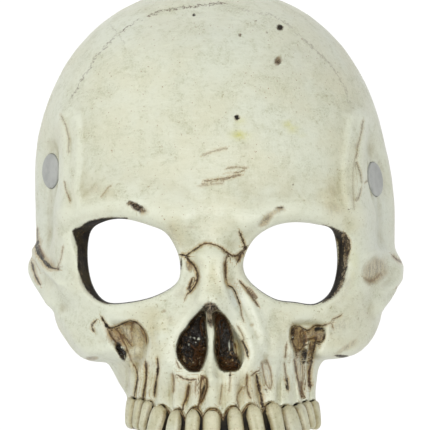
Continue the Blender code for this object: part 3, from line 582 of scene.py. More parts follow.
# half width in px, tone from tan 0 through brown to black 1, strength, depth in mm, points
CRACKS = (
    # the seam between the forehead and the nose bones
    (0.9, 0.76, 0.95, 0.5, ((182, 255), (186, 256), (190, 252.5), (195, 249.5), (200, 246))),
    (0.8, 0.48, 0.85, 0.5, ((200, 246), (205, 243.5), (211, 243.5), (217, 245.5), (222, 248),
     (225, 251))),
    (1, 0.6, 0.9, 0.5, ((225, 251), (229, 254), (233, 257), (238, 255), (243, 251), (246, 248))),
    (0.9, 0.64, 0.9, 0.4, ((240, 233), (242, 238), (243.5, 243), (245.5, 247))),
    (0.9, 0.68, 0.9, 0.4, ((241, 253), (240, 257), (238, 261))),
    # the notches beside the nose bones
    (1, 0.68, 0.95, 0.5, ((186, 257), (190, 261.5), (194, 265.5), (197, 271), (197.8, 277),
     (196.5, 283), (193.5, 288), (190, 292))),
    (0.7, 0.56, 0.8, 0.3, ((189, 292), (186.5, 295), (185, 299))),
    (0.8, 0.68, 0.9, 0.3, ((192, 279), (190.5, 284), (188.5, 289))),
    (1, 0.6, 0.9, 0.5, ((226.5, 258), (225.5, 264), (225.5, 272), (226.5, 280), (228.5, 286))),
    (0.8, 0.88, 0.95, 0.5, ((229, 285.5), (233, 288), (235.5, 292), (237, 297), (239.5, 303))),
    (0.6, 0.44, 0.55, 0.2, ((239.5, 303), (241, 309), (241.5, 315), (243.5, 320))),
    (0.8, 0.52, 0.8, 0.4, ((240.5, 282), (246, 288), (250, 294), (254, 300), (257.5, 305))),
    (0.7, 0.4, 0.6, 0.3, ((246, 286), (252, 291), (256.5, 297))),
    # brown strokes inside the nose opening, over the black
    (0.9, 0.52, 0.85, 0.4, ((202, 318), (200.5, 326), (202, 334))),
    (1.2, 0.54, 0.9, 0.4, ((192, 346), (196, 350), (194, 357), (196, 365))),
    (1, 0.49, 0.9, 0.4, ((200, 344), (198, 352), (200, 360))),
    (0.9, 0.56, 0.9, 0.4, ((204, 346), (203.5, 355), (201, 366))),
    (0.9, 0.52, 0.8, 0.4, ((184, 363), (190, 368.5), (198, 370))),
    (0.9, 0.52, 0.95, 0.5, ((215.5, 315), (217, 324), (218.5, 334), (219, 344), (218, 356))),
    (0.8, 0.56, 0.9, 0.4, ((219.5, 314), (221.5, 322), (222, 332))),
    (0.8, 0.6, 0.85, 0.4, ((224, 316), (227.5, 323), (230.5, 333))),
    (1, 0.48, 0.9, 0.4, ((222, 359), (228, 362), (235, 364))),
    (1, 0.52, 0.9, 0.4, ((221, 366.5), (228, 369), (236, 368.5))),
    (0.7, 0.52, 0.8, 0.3, ((234.5, 344), (236, 350), (236.5, 357))),
    # the edges of the nose opening
    (0.7, 0.32, 0.5, 0.3, ((238, 327), (242, 334), (244, 340))),
    (0.9, 0.84, 0.95, 0.4, ((242.5, 341), (245, 346), (247, 351), (247.5, 355.5))),
    (0.8, 0.48, 0.8, 0.2, ((178, 375.5), (183, 378.5), (189, 380), (196, 379.5))),
    (0.7, 0.44, 0.6, 0.2, ((177, 362), (178.5, 367), (180, 368))),
    # the temples
    (0.7, 0.48, 0.36, 0.2, ((61.5, 116), (66, 126), (69, 139), (68.5, 152))),
    (0.6, 0.44, 0.5, 0.2, ((64.6, 182), (66, 190), (68, 195), (70, 201))),
    (0.7, 0.48, 0.4, 0.2, ((363, 121), (361, 134), (358, 146), (356, 158))),
    (0.7, 0.52, 0.18, 0.2, ((355, 158), (353, 172), (353, 190), (354, 208))),
    (0.6, 0.68, 0.45, 0.2, ((357, 163), (360.5, 174), (361.5, 182))),
    (0.6, 0.68, 0.4, 0.2, ((361, 188), (359.5, 196), (357.5, 200))),
    (0.6, 0.56, 0.55, 0.2, ((366, 182), (371, 179), (375, 176))),
    # the arches behind the cheeks
    (0.7, 0.84, 0.7, 0.3, ((37.5, 229), (37.5, 236), (38, 242))),
    (1.8, 1, 1, 0.5, ((37.5, 242), (36, 247), (38, 252), (41, 257), (45, 262), (50, 266.5))),
    (1, 0.44, 0.9, 0.4, ((39, 246), (41, 252), (44, 257))),
    (0.9, 0.64, 0.9, 0.5, ((50, 266.5), (53, 268.5), (57.5, 269))),
    (0.6, 0.36, 0.5, 0.2, ((57, 269), (60, 262), (62, 255), (63, 247))),
    (1, 0.76, 0.9, 0.3, ((32, 264), (33.5, 270), (36, 277), (39, 283))),
    (0.9, 0.52, 0.7, 0.6, ((393, 256), (396, 259), (401, 262))),
    (0.8, 0.44, 0.5, 0.4, ((406, 282), (401, 286), (397, 288))),
    (1.2, 0.36, 0.4, 0.4, ((366, 279), (370, 281.5), (375, 279), (379, 275))),
    # the roots of the teeth
    (0.75, 0.72, 0.9, 0.6, ((134.5, 365), (137, 371), (137.5, 379), (136.5, 385), (135, 391),
     (134.5, 396))),
    (1, 0.6, 0.95, 0.8, ((146, 364), (146.3, 375), (145.5, 384), (143.8, 392), (143, 399),
     (143.5, 403))),
    (0.8, 0.68, 0.85, 0.6, ((157.5, 359), (158.2, 368), (157.5, 374), (156, 382), (155, 390),
     (154.5, 396))),
    (0.9, 0.4, 0.6, 0.3, ((173, 375), (174, 383), (173.5, 391))),
    (1, 0.56, 0.9, 0.6, ((188.5, 386), (188, 393), (186, 399), (183.5, 405), (182.5, 410))),
    (0.8, 0.48, 0.85, 0.5, ((202, 377), (200.5, 386), (201, 394), (199, 404), (198.5, 408))),
    (0.8, 0.52, 0.85, 0.5, ((203, 376), (206.5, 379), (207, 387), (205, 394), (202, 401))),
    (0.8, 0.32, 0.5, 0.3, ((196, 381), (195.5, 392))),
    (0.8, 0.32, 0.45, 0.2, ((222, 386), (221, 394), (220, 403))),
    (0.7, 0.32, 0.45, 0.2, ((230, 377), (230, 383), (229, 390))),
    (0.8, 0.36, 0.6, 0.3, ((242, 388), (238, 394), (237, 400), (239, 406))),
    (0.8, 0.44, 0.7, 0.3, ((247, 376), (246.5, 384), (248, 392), (250, 397))),
    (0.7, 0.48, 0.8, 0.2, ((252.5, 375), (256, 372), (258.5, 371))),
    (1.4, 0.68, 1, 0.8, ((256.5, 376), (258, 384), (259.5, 391), (261.5, 399), (263, 407))),
    (0.7, 0.36, 0.5, 0.2, ((262, 364), (263.5, 374), (266, 384), (270, 389))),
    (0.7, 0.36, 0.5, 0.2, ((267, 361), (271, 371), (272, 382), (271, 388))),
    (0.7, 0.52, 0.6, 0.3, ((284.5, 364), (285.5, 372), (286.5, 379))),
    (1, 0.84, 0.95, 0.4, ((286.5, 379), (287.5, 384), (288, 389))),
    (0.8, 0.4, 0.6, 0.2, ((287, 344), (286, 350), (285.5, 356))),
    # streaks in the right hollow and below it
    (0.7, 0.68, 0.8, 0.4, ((294, 327), (294.5, 332), (292.5, 337), (292.5, 342), (295, 348),
     (297, 357))),
    (0.8, 0.52, 0.8, 0.4, ((301, 331), (300, 337), (301, 342))),
    (0.9, 0.72, 0.85, 0.4, ((303.5, 334), (304.5, 340), (303.5, 345), (306.5, 345))),
    (0.7, 0.2, 0.8, 0.2, ((305, 332), (306.5, 336), (307, 341))),
    (0.8, 0.6, 0.85, 0.4, ((308, 339), (312, 339), (315, 337))),
    (0.8, 0.52, 0.8, 0.3, ((296, 347), (299, 351), (303, 347))),
    (1, 0.68, 0.95, 0.5, ((316, 338), (314.5, 345), (312.5, 355), (311.5, 363), (310.5, 368))),
    (0.7, 0.52, 0.8, 0.4, ((310.5, 343), (309.5, 352), (309, 362))),
    (1.3, 0.56, 0.95, 0.5, ((309.5, 368), (309, 376), (309.8, 386))),
    (0.8, 0.52, 0.85, 0.3, ((294.5, 360), (296, 370), (298, 379), (299.5, 388), (301.5, 397))),
    (0.8, 0.44, 0.8, 0.3, ((300, 382), (301.5, 389), (304, 396))),
    (0.6, 0.36, 0.6, 0.2, ((302.5, 366), (303, 374), (303, 384))),
    (0.7, 0.76, 0.85, 0.3, ((291, 334), (292, 329), (295, 326.3), (300, 326.5), (305, 329.5),
     (309, 330.5))),
    (0.7, 0.6, 0.8, 0.3, ((309, 330.5), (312, 327.5), (315.5, 325.5), (320, 325.5))),
    (0.8, 0.64, 0.85, 0.3, ((318, 341), (321, 342.5), (324, 338))),
    (0.7, 0.6, 0.75, 0.2, ((323, 325.5), (327, 324.5))),
    (0.7, 0.32, 0.5, 0.2, ((326, 325), (331, 322.5), (333, 327))),
    (0.7, 0.6, 0.6, 0.2, ((334, 318.5), (338, 317.5), (341, 315))),
    # the left hollow's edges
    (0.8, 0.8, 0.9, 0.3, ((105, 323), (107.5, 327), (112, 328), (118, 326.2), (124, 323), (130, 320.8),
     (135, 321.5), (140, 325.5))),
    (0.7, 0.6, 0.85, 0.3, ((140, 325.5), (144, 331), (146, 336), (146.3, 342))),
    (0.8, 0.6, 0.8, 0.3, ((109, 331), (112, 337), (116, 342))),
    (0.8, 0.48, 0.75, 0.3, ((116, 329), (120, 334), (123, 341), (126, 346), (127.5, 351))),
    (0.7, 0.48, 0.7, 0.3, ((123, 335), (127, 340), (131, 345))),
    (0.7, 0.36, 0.5, 0.3, ((132, 325), (131, 332), (132, 340))),
    (0.7, 0.4, 0.55, 0.2, ((128, 352), (131, 360), (133.5, 366))),
    (0.9, 0.76, 0.85, 0.3, ((95, 321.5), (92.5, 324), (91.5, 327), (93.5, 330.5))),
    (0.7, 0.68, 0.8, 0.2, ((101.5, 317), (104, 321.5))),
    # the outer edge of the right eye opening
    (0.8, 0.76, 0.8, 0.3, ((345, 234), (349, 241), (350, 249), (347, 256), (346, 249), (344, 243),
     (346, 238))),
    # faint brush lines over the forehead
    (0.8, 0.36, 0.34, 0.1, ((204, 155), (212, 151.5), (219, 150), (226, 148))),
    (0.8, 0.36, 0.4, 0.1, ((228, 168), (236, 167), (245, 168))),
    (0.9, 0.4, 0.6, 0.1, ((206, 181), (214, 180), (226, 178.5), (239, 175))),
    (0.7, 0.28, 0.3, 0.1, ((200, 186), (212, 184), (222, 183))),
    (0.7, 0.28, 0.3, 0.1, ((102, 196), (106, 190), (110, 186))),
)
# broad soft forms: reach in px, height in mm, points
FORMS = (
    # the rim of the nose opening, and the ridges at the sides of the nose bones
    (5, 0.9, ((206, 297), (199, 303), (190, 314), (180, 326), (171, 338), (169, 352), (172, 368),
     (183, 378), (198, 380))),
    (5, 0.8, ((216, 300), (226, 308), (238, 322), (248, 338), (254, 352), (251, 366), (240, 378),
     (222, 381))),
    (4, 0.9, ((200, 255), (203, 268), (204, 284), (200, 300))),
    (3.5, 0.9, ((222, 256), (221, 268), (222, 284), (227, 300), (236, 314))),
    (4.5, 0.8, ((236, 262), (240, 276), (249, 300), (256, 316), (262, 334), (268, 350))),
    (5, -0.7, ((213, 262), (213, 275))),
    (4, -0.8, ((232, 280), (242, 300), (250, 318), (258, 336))),
    # the bars of bone over the long teeth
    (5.5, 1.2, ((160, 322), (163, 345), (165, 370), (163, 400))),
    (6, 0.9, ((176, 384), (176, 404))),
    (5, 0.8, ((152, 362), (150, 398))),
    (4, 0.7, ((141, 372), (139, 397))),
    (5.5, 0.8, ((214, 380), (213, 404))),
    (6, 0.8, ((232, 382), (234, 402))),
    (6, 1, ((276, 336), (275, 362), (272, 400))),
    (5, 0.7, ((290, 350), (292, 375), (294, 398))),
    (5, -0.9, ((268, 345), (267, 372), (265, 392))),
    # the lower edge of each cheekbone
    (6, 1.4, ((64, 318), (76, 340), (88, 351), (101, 350), (112, 346))),
    (6, 1.4, ((372, 326), (364, 340), (350, 348), (334, 350), (322, 352))),
    (6, -0.8, ((96, 334), (104, 342))),
    (7, 0.9, ((110, 312), (135, 309), (158, 302))),
    (7, 0.9, ((270, 308), (295, 313), (325, 310))),
    # the arch behind each cheek, whose lip stands over the crease
    (3.5, 1.6, ((33, 247), (39, 259), (47, 270), (56, 278), (62, 284))),
    (4, 1, ((62, 262), (66, 250), (66, 238))),
    (4, 1.3, ((392, 262), (398, 268), (399, 278), (393, 286), (384, 292))),
    (4, 0.8, ((366, 256), (377, 251), (388, 254))),
    # the crest along each temple, and the hollow behind it
    (3.5, 0.9, ((77, 118), (79, 140), (78, 165), (76, 190), (80, 208))),
    (3, -0.6, ((67, 120), (70, 150), (67, 180), (69, 202))),
    (3.5, 0.8, ((352, 118), (348, 140), (345, 165), (345, 190), (350, 206))),
    (3, -0.5, ((360, 130), (357, 160), (356, 200))),
    # the brows
    (6, 0.8, ((92, 212), (115, 207), (140, 213), (165, 222))),
    (6, 0.8, ((246, 226), (262, 216), (290, 211), (320, 214), (338, 220))),
    (7, -0.6, ((110, 196), (140, 196), (165, 205))),
    (7, -0.5, ((262, 200), (290, 196), (315, 200))),
)
# the crown's seam, which zigzags finely and is darkest at the upper left: strength, points
SEAMS = (
    (1, ((118, 34), (123, 31), (136, 21), (150, 15), (167, 10), (185, 7.5), (205, 5), (218, 3),
     (226, 4))),
    (0.7, ((118, 34), (110, 41), (95, 58), (87, 72), (80, 82), (75, 92), (70.5, 99))),
    (0.42, ((226, 4), (252, 12), (271, 15), (286, 23), (300, 36), (312, 47), (320, 54), (329, 63),
     (338, 75), (344, 86), (349, 102))),
)
# yellow-green stains: middle, reach across and down, strength
YELLOW_SPOTS = (
    (77, 258, 2.2, 18, 0.5), (240, 135, 8, 4.5, 1), (240, 122, 5, 4, 0.5), (288, 124, 5, 3, 0.8),
    (294, 129, 6, 3.5, 0.6), (302, 134, 4, 2.5, 0.35), (352, 262, 6, 22, 0.35), (205, 262, 9, 12, 0.18),
)
# where the paint is warmer: middle, reach across and down, strength
WARM_SPOTS = (
    (213, 278, 13, 20, 0.6), (241, 345, 6, 20, 1), (268, 348, 14, 24, 0.5), (222, 392, 62, 26, 0.75),
    (318, 318, 44, 40, 0.55), (340, 245, 22, 50, 0.45), (330, 80, 46, 60, 0.3),
    (150, 372, 36, 34, 0.45), (230, 215, 60, 42, 0.25), (262, 270, 20, 26, 0.3),
    (190, 262, 18, 26, 0.3), (160, 140, 90, 60, 0.12), (160, 338, 20, 36, 0.85),
    (175, 235, 16, 26, 0.55), (250, 250, 14, 22, 0.5), (100, 190, 30, 16, 0.4), (332, 200, 26, 30, 0.5),
    (228, 160, 40, 30, 0.25), (375, 270, 16, 20, 0.5),
)
# painted shade: cooler, greyer paint where shade falls, on the top of the dome, on the side walls, beside
# the nose, under the left cheek and in a groove above the teeth
COOL_SHADE_SPOTS = (
    (97, 372, 9, 12, 0.8), (236, 297, 8, 16, 0.8), (265, 368, 9, 34, 0.45), (305, 55, 46, 40, 0.3),
    (205, 30, 90, 20, 0.3), (380, 225, 12, 60, 0.5), (45, 200, 12, 60, 0.35),
)

# how far around a row's points its marks can reach, in px
AREA_MARGIN, SPOT_MARGIN, GROOVE_MARGIN, GLINT_MARGIN, LINE_MARGIN = 8, 14, 8, 9, 6
# the sides of a hollow are this much wider than the feather of its stain
SIDES_TIMES, CORNER_POINTS = 2.2, 4
# slight waves of the surface, as it was modelled by hand
WAVES_MM, WAVES_EACH = (9.0, 16.0, 30.0), 6
UNEVEN_MM, UNEVEN_SEED = 0.28, 11
# a crack's groove is wider than its dark line
GROOVE_TIMES, GROOVE_EXTRA_PX = 1.5, 0.8
# the root over each tooth: height in mm, share of the tooth's width, hollow beside it, length
ROOT_HEIGHT, ROOT_WIDTH, ROOT_DIP, ROOT_PX, ROOT_FADE_PX = 1.3, 0.62, 0.45, 44, 30
GUM_ABOVE_PX, GUM_SOFT_PX, EDGE_FADE = 1.2, 2.0, 5


def distance_to_spot(px, py, spot):
    """How far outside an oval spot each point is, in px; inside it the distance is negative."""
    x, y, across, down, turn = spot[:5]
    c, s = math.cos(math.radians(turn)), math.sin(math.radians(turn))
    u, v = (px - x) * c + (py - y) * s, (py - y) * c - (px - x) * s
    size = np.hypot(u / across, v / down)
    return (size - 1) * min(across, down)


def near(px, py, points, margin):
    """The points that lie close enough to a table's row to be touched by it."""
    low, high = np.min(points, 0) - margin, np.max(points, 0) + margin
    return np.nonzero((px > low[0]) & (px < high[0]) & (py > low[1]) & (py < high[1]))


def sunk_areas(px, py, grown=0.0):
    """How deep the hollows of the table are at each point, in mm; grown widens them by px."""
    sunk = np.zeros(px.shape)
    for corners, feather, _, _, depth in AREAS:
        if depth:
            here = near(px, py, corners, AREA_MARGIN + grown)
            edge = distance_inside(px[here], py[here], corners, CORNER_POINTS) + grown
            sunk[here] += depth * smooth_step(0.5 + edge / (SIDES_TIMES * feather))
    return sunk


def unevenness(points, rng):
    """The slight waviness of a surface that was modelled by hand, between -1 and 1."""
    total = np.zeros(points.shape[:-1])
    for length in WAVES_MM:
        for _ in range(WAVES_EACH):
            way = rng.normal(size=3)
            way *= 2 * math.pi / length / np.linalg.norm(way)
            total += np.sin(points @ way + rng.uniform(0, 6)) * length / max(WAVES_MM)
    return total / WAVES_EACH


def fine_relief(grid):
    """The grid with the small pits, cracks, roots and the gum's scalloped edge worked in."""
    px, py = in_picture(grid)
    sunk = sunk_areas(px, py)
    for reach, height, points in FORMS:
        here = near(px, py, points, 3 * reach)
        sunk[here] -= height * bell(distance_to_line(px[here], py[here], points) / reach)
    sunk += UNEVEN_MM * unevenness(grid, np.random.default_rng(UNEVEN_SEED))
    for spot in SPOTS:
        if spot[8]:
            here = near(px, py, [spot[:2]], SPOT_MARGIN)
            edge = distance_to_spot(px[here], py[here], spot)
            sunk[here] += spot[8] * smooth_step(0.5 - edge / (2 * spot[5]))
    for width, _, _, depth, points in CRACKS:
        here = near(px, py, points, GROOVE_MARGIN)
        groove = GROOVE_TIMES * width + GROOVE_EXTRA_PX
        sunk[here] += depth * bell(distance_to_line(px[here], py[here], points) / groove)
    for left, right, _, _, top, _ in TEETH_PX:
        middle, half = (left + right) / 2, (right - left) / 2
        root = bell((px - middle) / (ROOT_WIDTH * half)) - ROOT_DIP
        root *= smooth_step((py - (top - ROOT_PX)) / ROOT_FADE_PX) * (np.abs(px - middle) < 1.4 * half)
        sunk -= ROOT_HEIGHT * root
    below_gum = smooth_step(0.5 + (py - gum_edge(px) + GUM_ABOVE_PX) / GUM_SOFT_PX)
    sunk = sunk * (1 - below_gum) + GUM_STEP * below_gum
    from_edge = np.minimum(grid[..., 2] - grid[:, :1, 2], np.arange(len(grid))[:, None] * 1.0)
    sunk *= smooth_step(from_edge / EDGE_FADE)
    return grid - outward(grid, level_at_rim=False) * sunk[..., None]


print("rows in the tables:", len(AREAS), "areas,", len(SPOTS), "spots,", len(CRACKS), "cracks")

# %% [markdown]
# ## The wall
# The casting is a sheet of even thickness with an outer and an inner skin. Each skin is a grid
# primitive whose points are moved into place, as one would sculpt it, and the two open edges are
# bridged. The outer skin is four times as fine, because that is the one that is looked at.

# %% Two skins and the edge between them
COLUMNS, FACE_ROWS, DOME_ROWS = 279, 145, 119
EVEN_OUT = 12
PAINTED, RAW_INSIDE, EYE_EDGE = 0, 1, 2
STUD_PROUD, STUD_LEVEL, STUD_BLEND = 0.5, 18.0, 8.0
# how much lower than its surroundings a place lies: times evened out, mm for a full one, share
SUNK_KINDS = ((10, 0.35, 0.5), (90, 1.6, 0.7))


def even_out(grid, times):
    """The grid with each inner point moved halfway to the mean of its four neighbours."""
    for _ in range(times):
        mean = (grid[:-2, 1:-1] + grid[2:, 1:-1] + grid[1:-1, :-2] + grid[1:-1, 2:]) / 4
        grid[1:-1, 1:-1] = (grid[1:-1, 1:-1] + mean) / 2
    return grid


def inner_grid(base):
    """The inner skin, which follows the outer one and is thicker at the studs and the eyes."""
    x, y, z = base[..., 0], base[..., 1], base[..., 2]
    thickness = np.full_like(x, WALL)
    for side, seat_y, seat_z in STUD_SEATS:
        near_seat = np.hypot(y - seat_y, z - seat_z) / BOSS_RADIUS
        thickness += BOSS * smooth_step(2 - 2 * near_seat) * (x * side > 0)
    inner = broad_relief(base, grown=WALL) - outward(base) * thickness[..., None]
    for corners in (LEFT_EYE, RIGHT_EYE):
        inner[..., 2] -= EYE_WALL * smooth_step(1 + distance_inside(x, y, corners) / EYE_WALL_REACH)
    inner[..., 2] -= sunk_areas(*in_picture(base), grown=WALL / MM_PER_PX_AT_1M)
    return keep_rim_flat(even_out(inner, EVEN_OUT), base)


def to_frame(points):
    """Points of the maker's drawing, in mm, as places in the scene, in metres."""
    return (points - MIDDLE) * MM


def from_frame(points):
    """Places in the scene, in metres, as points of the maker's drawing, in mm."""
    return points / MM + MIDDLE


def get_vectors(items, name="co"):
    """The places, or another kind of vector, of a mesh's points, as an array."""
    flat = np.empty(len(items) * 3)
    items.foreach_get(name, flat)
    return flat.reshape(-1, 3)


def set_points(mesh, points):
    """Moves a mesh's points to new places."""
    mesh.vertices.foreach_set("co", np.ascontiguousarray(points, float).ravel())
    mesh.update()


def add_sheet(name, grid, slot):
    """A grid primitive with its points moved to the rows of points, all in one slot."""
    rows, columns = grid.shape[:2]
    bpy.ops.mesh.primitive_grid_add(x_subdivisions=columns - 1, y_subdivisions=rows - 1, size=1)
    sheet = bpy.context.object
    sheet.name = name
    set_points(sheet.data, to_frame(grid).reshape(-1, 3))
    sheet.data.polygons.foreach_set("material_index", np.full(len(sheet.data.polygons), slot))
    return sheet


def select_only(*objects):
    """Selects these objects and makes the first one active."""
    bpy.ops.object.select_all(action="DESELECT")
    for obj in objects:
        obj.select_set(True)
    bpy.context.view_layer.objects.active = objects[0]


@contextlib.contextmanager
def editing(obj, kind="VERT", action="SELECT"):
    """Edit mode on one object for as long as the block lasts, with all of it selected or none."""
    select_only(obj)
    bpy.ops.object.mode_set(mode="EDIT")
    bpy.ops.mesh.select_mode(type=kind)
    bpy.ops.mesh.select_all(action=action)
    yield
    bpy.ops.object.mode_set(mode="OBJECT")


def within_box(grid):
    """The grid drawn in by the hair's breadth that its fine peaks stand out of the CAD box."""
    low, high = (from_frame(np.array(corner)) for corner in CAD_BOX)
    share = np.minimum(1, np.maximum(low, high) / np.maximum(grid.max((0, 1)), 1e-9))
    share = np.minimum(share, np.where(low < -1, low / np.minimum(grid.min((0, 1)), -1e-9), 1))
    return grid * share


def level_at_studs(grid):
    """The grid lowered to just under the face of each strap stud's disc, all round the disc."""
    for mount in stud_mounts:
        axis = np.array(mount["axis"])
        off = grid - from_frame(np.array(mount["pos_m"]))
        height = off @ axis
        aside = np.linalg.norm(off - height[..., None] * axis, axis=-1)
        too_high = np.maximum(height + STUD_PROUD, 0) * smooth_step((STUD_LEVEL - aside) / STUD_BLEND)
        grid = grid - axis * too_high[..., None]
    return grid


stud_mounts = [mount for mount in frame["record"]["mounts"] if "stud" in mount["name"]]
fine_base = plain_form(COLUMNS, FACE_ROWS, DOME_ROWS)
outer_grid = level_at_studs(fine_relief(broad_relief(fine_base)))
outer_grid = within_box(keep_rim_flat(outer_grid, fine_base))
relief = ((outer_grid - fine_base) * outward(fine_base)).sum(-1)
# how sunk or raised each place is: the paint darkens the hollows, partly as grime and partly as painted
# shade, and lightens the raised places as a painted highlight
sunk_grid = 0
for times, full, share in SUNK_KINDS:
    sunk_grid = sunk_grid + share * ((even_out(relief.copy(), times) - relief) / full)
sunk_grid = np.clip(sunk_grid, -1, 1)
coarse_base = plain_form((COLUMNS + 1) // 2, (FACE_ROWS + 1) // 2, (DOME_ROWS + 1) // 2)
wall = add_sheet("skull_wall", outer_grid, PAINTED)
inside = add_sheet("inside", inner_grid(coarse_base), RAW_INSIDE)
with editing(inside):
    bpy.ops.mesh.flip_normals()
# stand-ins, which keep the three kinds of surface apart until the paints are mixed
materials = [bpy.data.materials.new(name) for name in ("bone_paint", "raw_inside", "eye_edge")]
for sheet in (wall, inside):
    for material in materials:
        sheet.data.materials.append(material)
select_only(wall, inside)
bpy.ops.object.join()
with editing(wall, "EDGE", "DESELECT"):
    bpy.ops.mesh.select_non_manifold(extend=False, use_boundary=True, use_wire=False)
    bpy.ops.mesh.bridge_edge_loops()
print("wall", len(wall.data.vertices), "points,", len(wall.data.polygons), "faces")

# %% [markdown]
# ## Openings
# The eyes are cut with an upright block that has the outline of the opening, and each strap
# stud gets its round seat, so that its disc lies nearly flush. The cut keeps the block's
# material on its own faces, which gives the eye openings their dark edges.

# %% Eye openings and stud seats
STUD_RADIUS, SEAT_DEPTH, FIT_GAP = 8.3, 1.5, 0.3
POST_RADIUS = 2.4
CUTTER_DISC, CUTTER_POST = 8.0, 12.0


def cut_away(target, cutter):
    """Cuts one object out of another and removes it."""
    cut = target.modifiers.new("cut", "BOOLEAN")
    cut.operation, cut.solver, cut.object = "DIFFERENCE", "EXACT", cutter
    cut.material_mode = "TRANSFER"
    select_only(target)
    bpy.ops.object.modifier_apply(modifier=cut.name)
    bpy.data.objects.remove(cutter)


def face_outward(obj):
    """Turns all of a closed mesh's faces outward."""
    with editing(obj):
        bpy.ops.mesh.normals_make_consistent(inside=False)


def eye_block(corners):
    """An upright block with the outline of an eye opening."""
    points = closed_outline(corners, 8)
    bpy.ops.mesh.primitive_circle_add(vertices=len(points), radius=1, fill_type="NGON")
    block = bpy.context.object
    place = np.concatenate((points, np.zeros((len(points), 1))), 1)
    set_points(block.data, to_frame(place[::-1]))
    with editing(block):
        bpy.ops.mesh.extrude_region_move(TRANSFORM_OT_translate={"value": (0, 0, 2 * FRONT * MM)})
    face_outward(block)
    block.data.materials.append(materials[EYE_EDGE])
    return block


def stud_seat(mount):
    """A round cutter for a stud's disc and its post, on the axis of its mount."""
    axis = Vector(mount["axis"])
    face = Vector(mount["pos_m"]) - axis * STUD_PROUD * MM
    turn = Vector((0, 0, 1)).rotation_difference(axis).to_matrix().to_4x4()
    radius = (STUD_RADIUS + FIT_GAP) * MM
    bpy.ops.mesh.primitive_cylinder_add(vertices=64, radius=radius, depth=CUTTER_DISC * MM)
    seat = bpy.context.object
    seat.data.transform(Matrix.Translation(face + axis * (CUTTER_DISC / 2 - SEAT_DEPTH) * MM) @ turn)
    with editing(seat, "FACE", "DESELECT"):
        bpy.ops.object.mode_set(mode="OBJECT")
        for polygon in seat.data.polygons:
            polygon.select = polygon.normal.dot(axis) < -0.9
        bpy.ops.object.mode_set(mode="EDIT")
        bpy.ops.mesh.inset(thickness=(STUD_RADIUS - POST_RADIUS) * MM)
        post = tuple(-axis * CUTTER_POST * MM)
        bpy.ops.mesh.extrude_region_move(TRANSFORM_OT_translate={"value": post})
    seat.data.materials.append(materials[PAINTED])
    return seat


for corners in (LEFT_EYE, RIGHT_EYE):
    cut_away(wall, eye_block(corners))
for mount in stud_mounts:
    cut_away(wall, stud_seat(mount))
print("wall after the cuts", len(wall.data.polygons), "faces", [slot.name for slot in wall.material_slots])

# %% [markdown]
# ## The teeth
# The teeth are long plain pegs, cast in one with the jaw. One peg is modelled from a cube with
# bevelled edges, and its copies are bent to each tooth's own place, width, lean and length. They
# stand on the same arc as the front of the jaw.

# %% One peg, and its fourteen copies
TOOTH_ARC_MIDDLE, TOOTH_ARC_HALF_WIDTH, TOOTH_ARC_FRONT = 3.6, 50.6, 78.2
TOOTH_DEPTH, ROOT_SUNK, TOOTH_FORWARD, TOOTH_TUCK = 6.8, 0.7, 0.9, 2.9
PEG_ROUND, NECK_ROUND, TIP_ROUND = 0.72, 2.2, 3.4
# shares of its place that a tooth fills at the neck and lower down
NECK_FILLS, LOW_FILLS = 0.94, 0.86
CREASE, CREASE_WIDTH, WAVY, UNEVEN_SET = 0.25, 0.2, 0.05, 0.25
TOOTH_SEED = 5


def on_tooth_arc(x):
    """The depth of the row of teeth at x, and the way that a tooth there faces."""
    across = (x - TOOTH_ARC_MIDDLE) / TOOTH_ARC_HALF_WIDTH
    depth = (1 - abs(across) ** ROUNDNESS) ** (1 / ROUNDNESS)
    sideways = math.copysign(abs(across) ** (ROUNDNESS - 1), across) / TOOTH_ARC_HALF_WIDTH
    forward = depth ** (ROUNDNESS - 1) / TOOTH_ARC_FRONT
    return depth * TOOTH_ARC_FRONT, Vector((sideways, 0, forward)).normalized()


def picture_to_arc(px, py):
    """The point on the arc of the teeth that shows up at a place in the picture, in mm."""
    point = np.array((0.0, 0.0, TOOTH_ARC_FRONT))
    for _ in range(4):
        scale = mm_per_px(point[2])
        point[:2] = (px - PICTURE_PX / 2) * scale, (PICTURE_PX / 2 - py) * scale
        point[2] = on_tooth_arc(point[0])[0]
    return point


def make_peg():
    """A peg one unit wide, deep and long, with rounded edges and plenty of points."""
    bpy.ops.mesh.primitive_cube_add(size=2)
    peg = bpy.context.object
    with editing(peg, "FACE"):
        bpy.ops.mesh.bevel(offset=PEG_ROUND, offset_type="OFFSET", segments=5, profile=0.5, affect="EDGES")
        bpy.ops.mesh.subdivide(number_cuts=2, smoothness=0)
    return peg


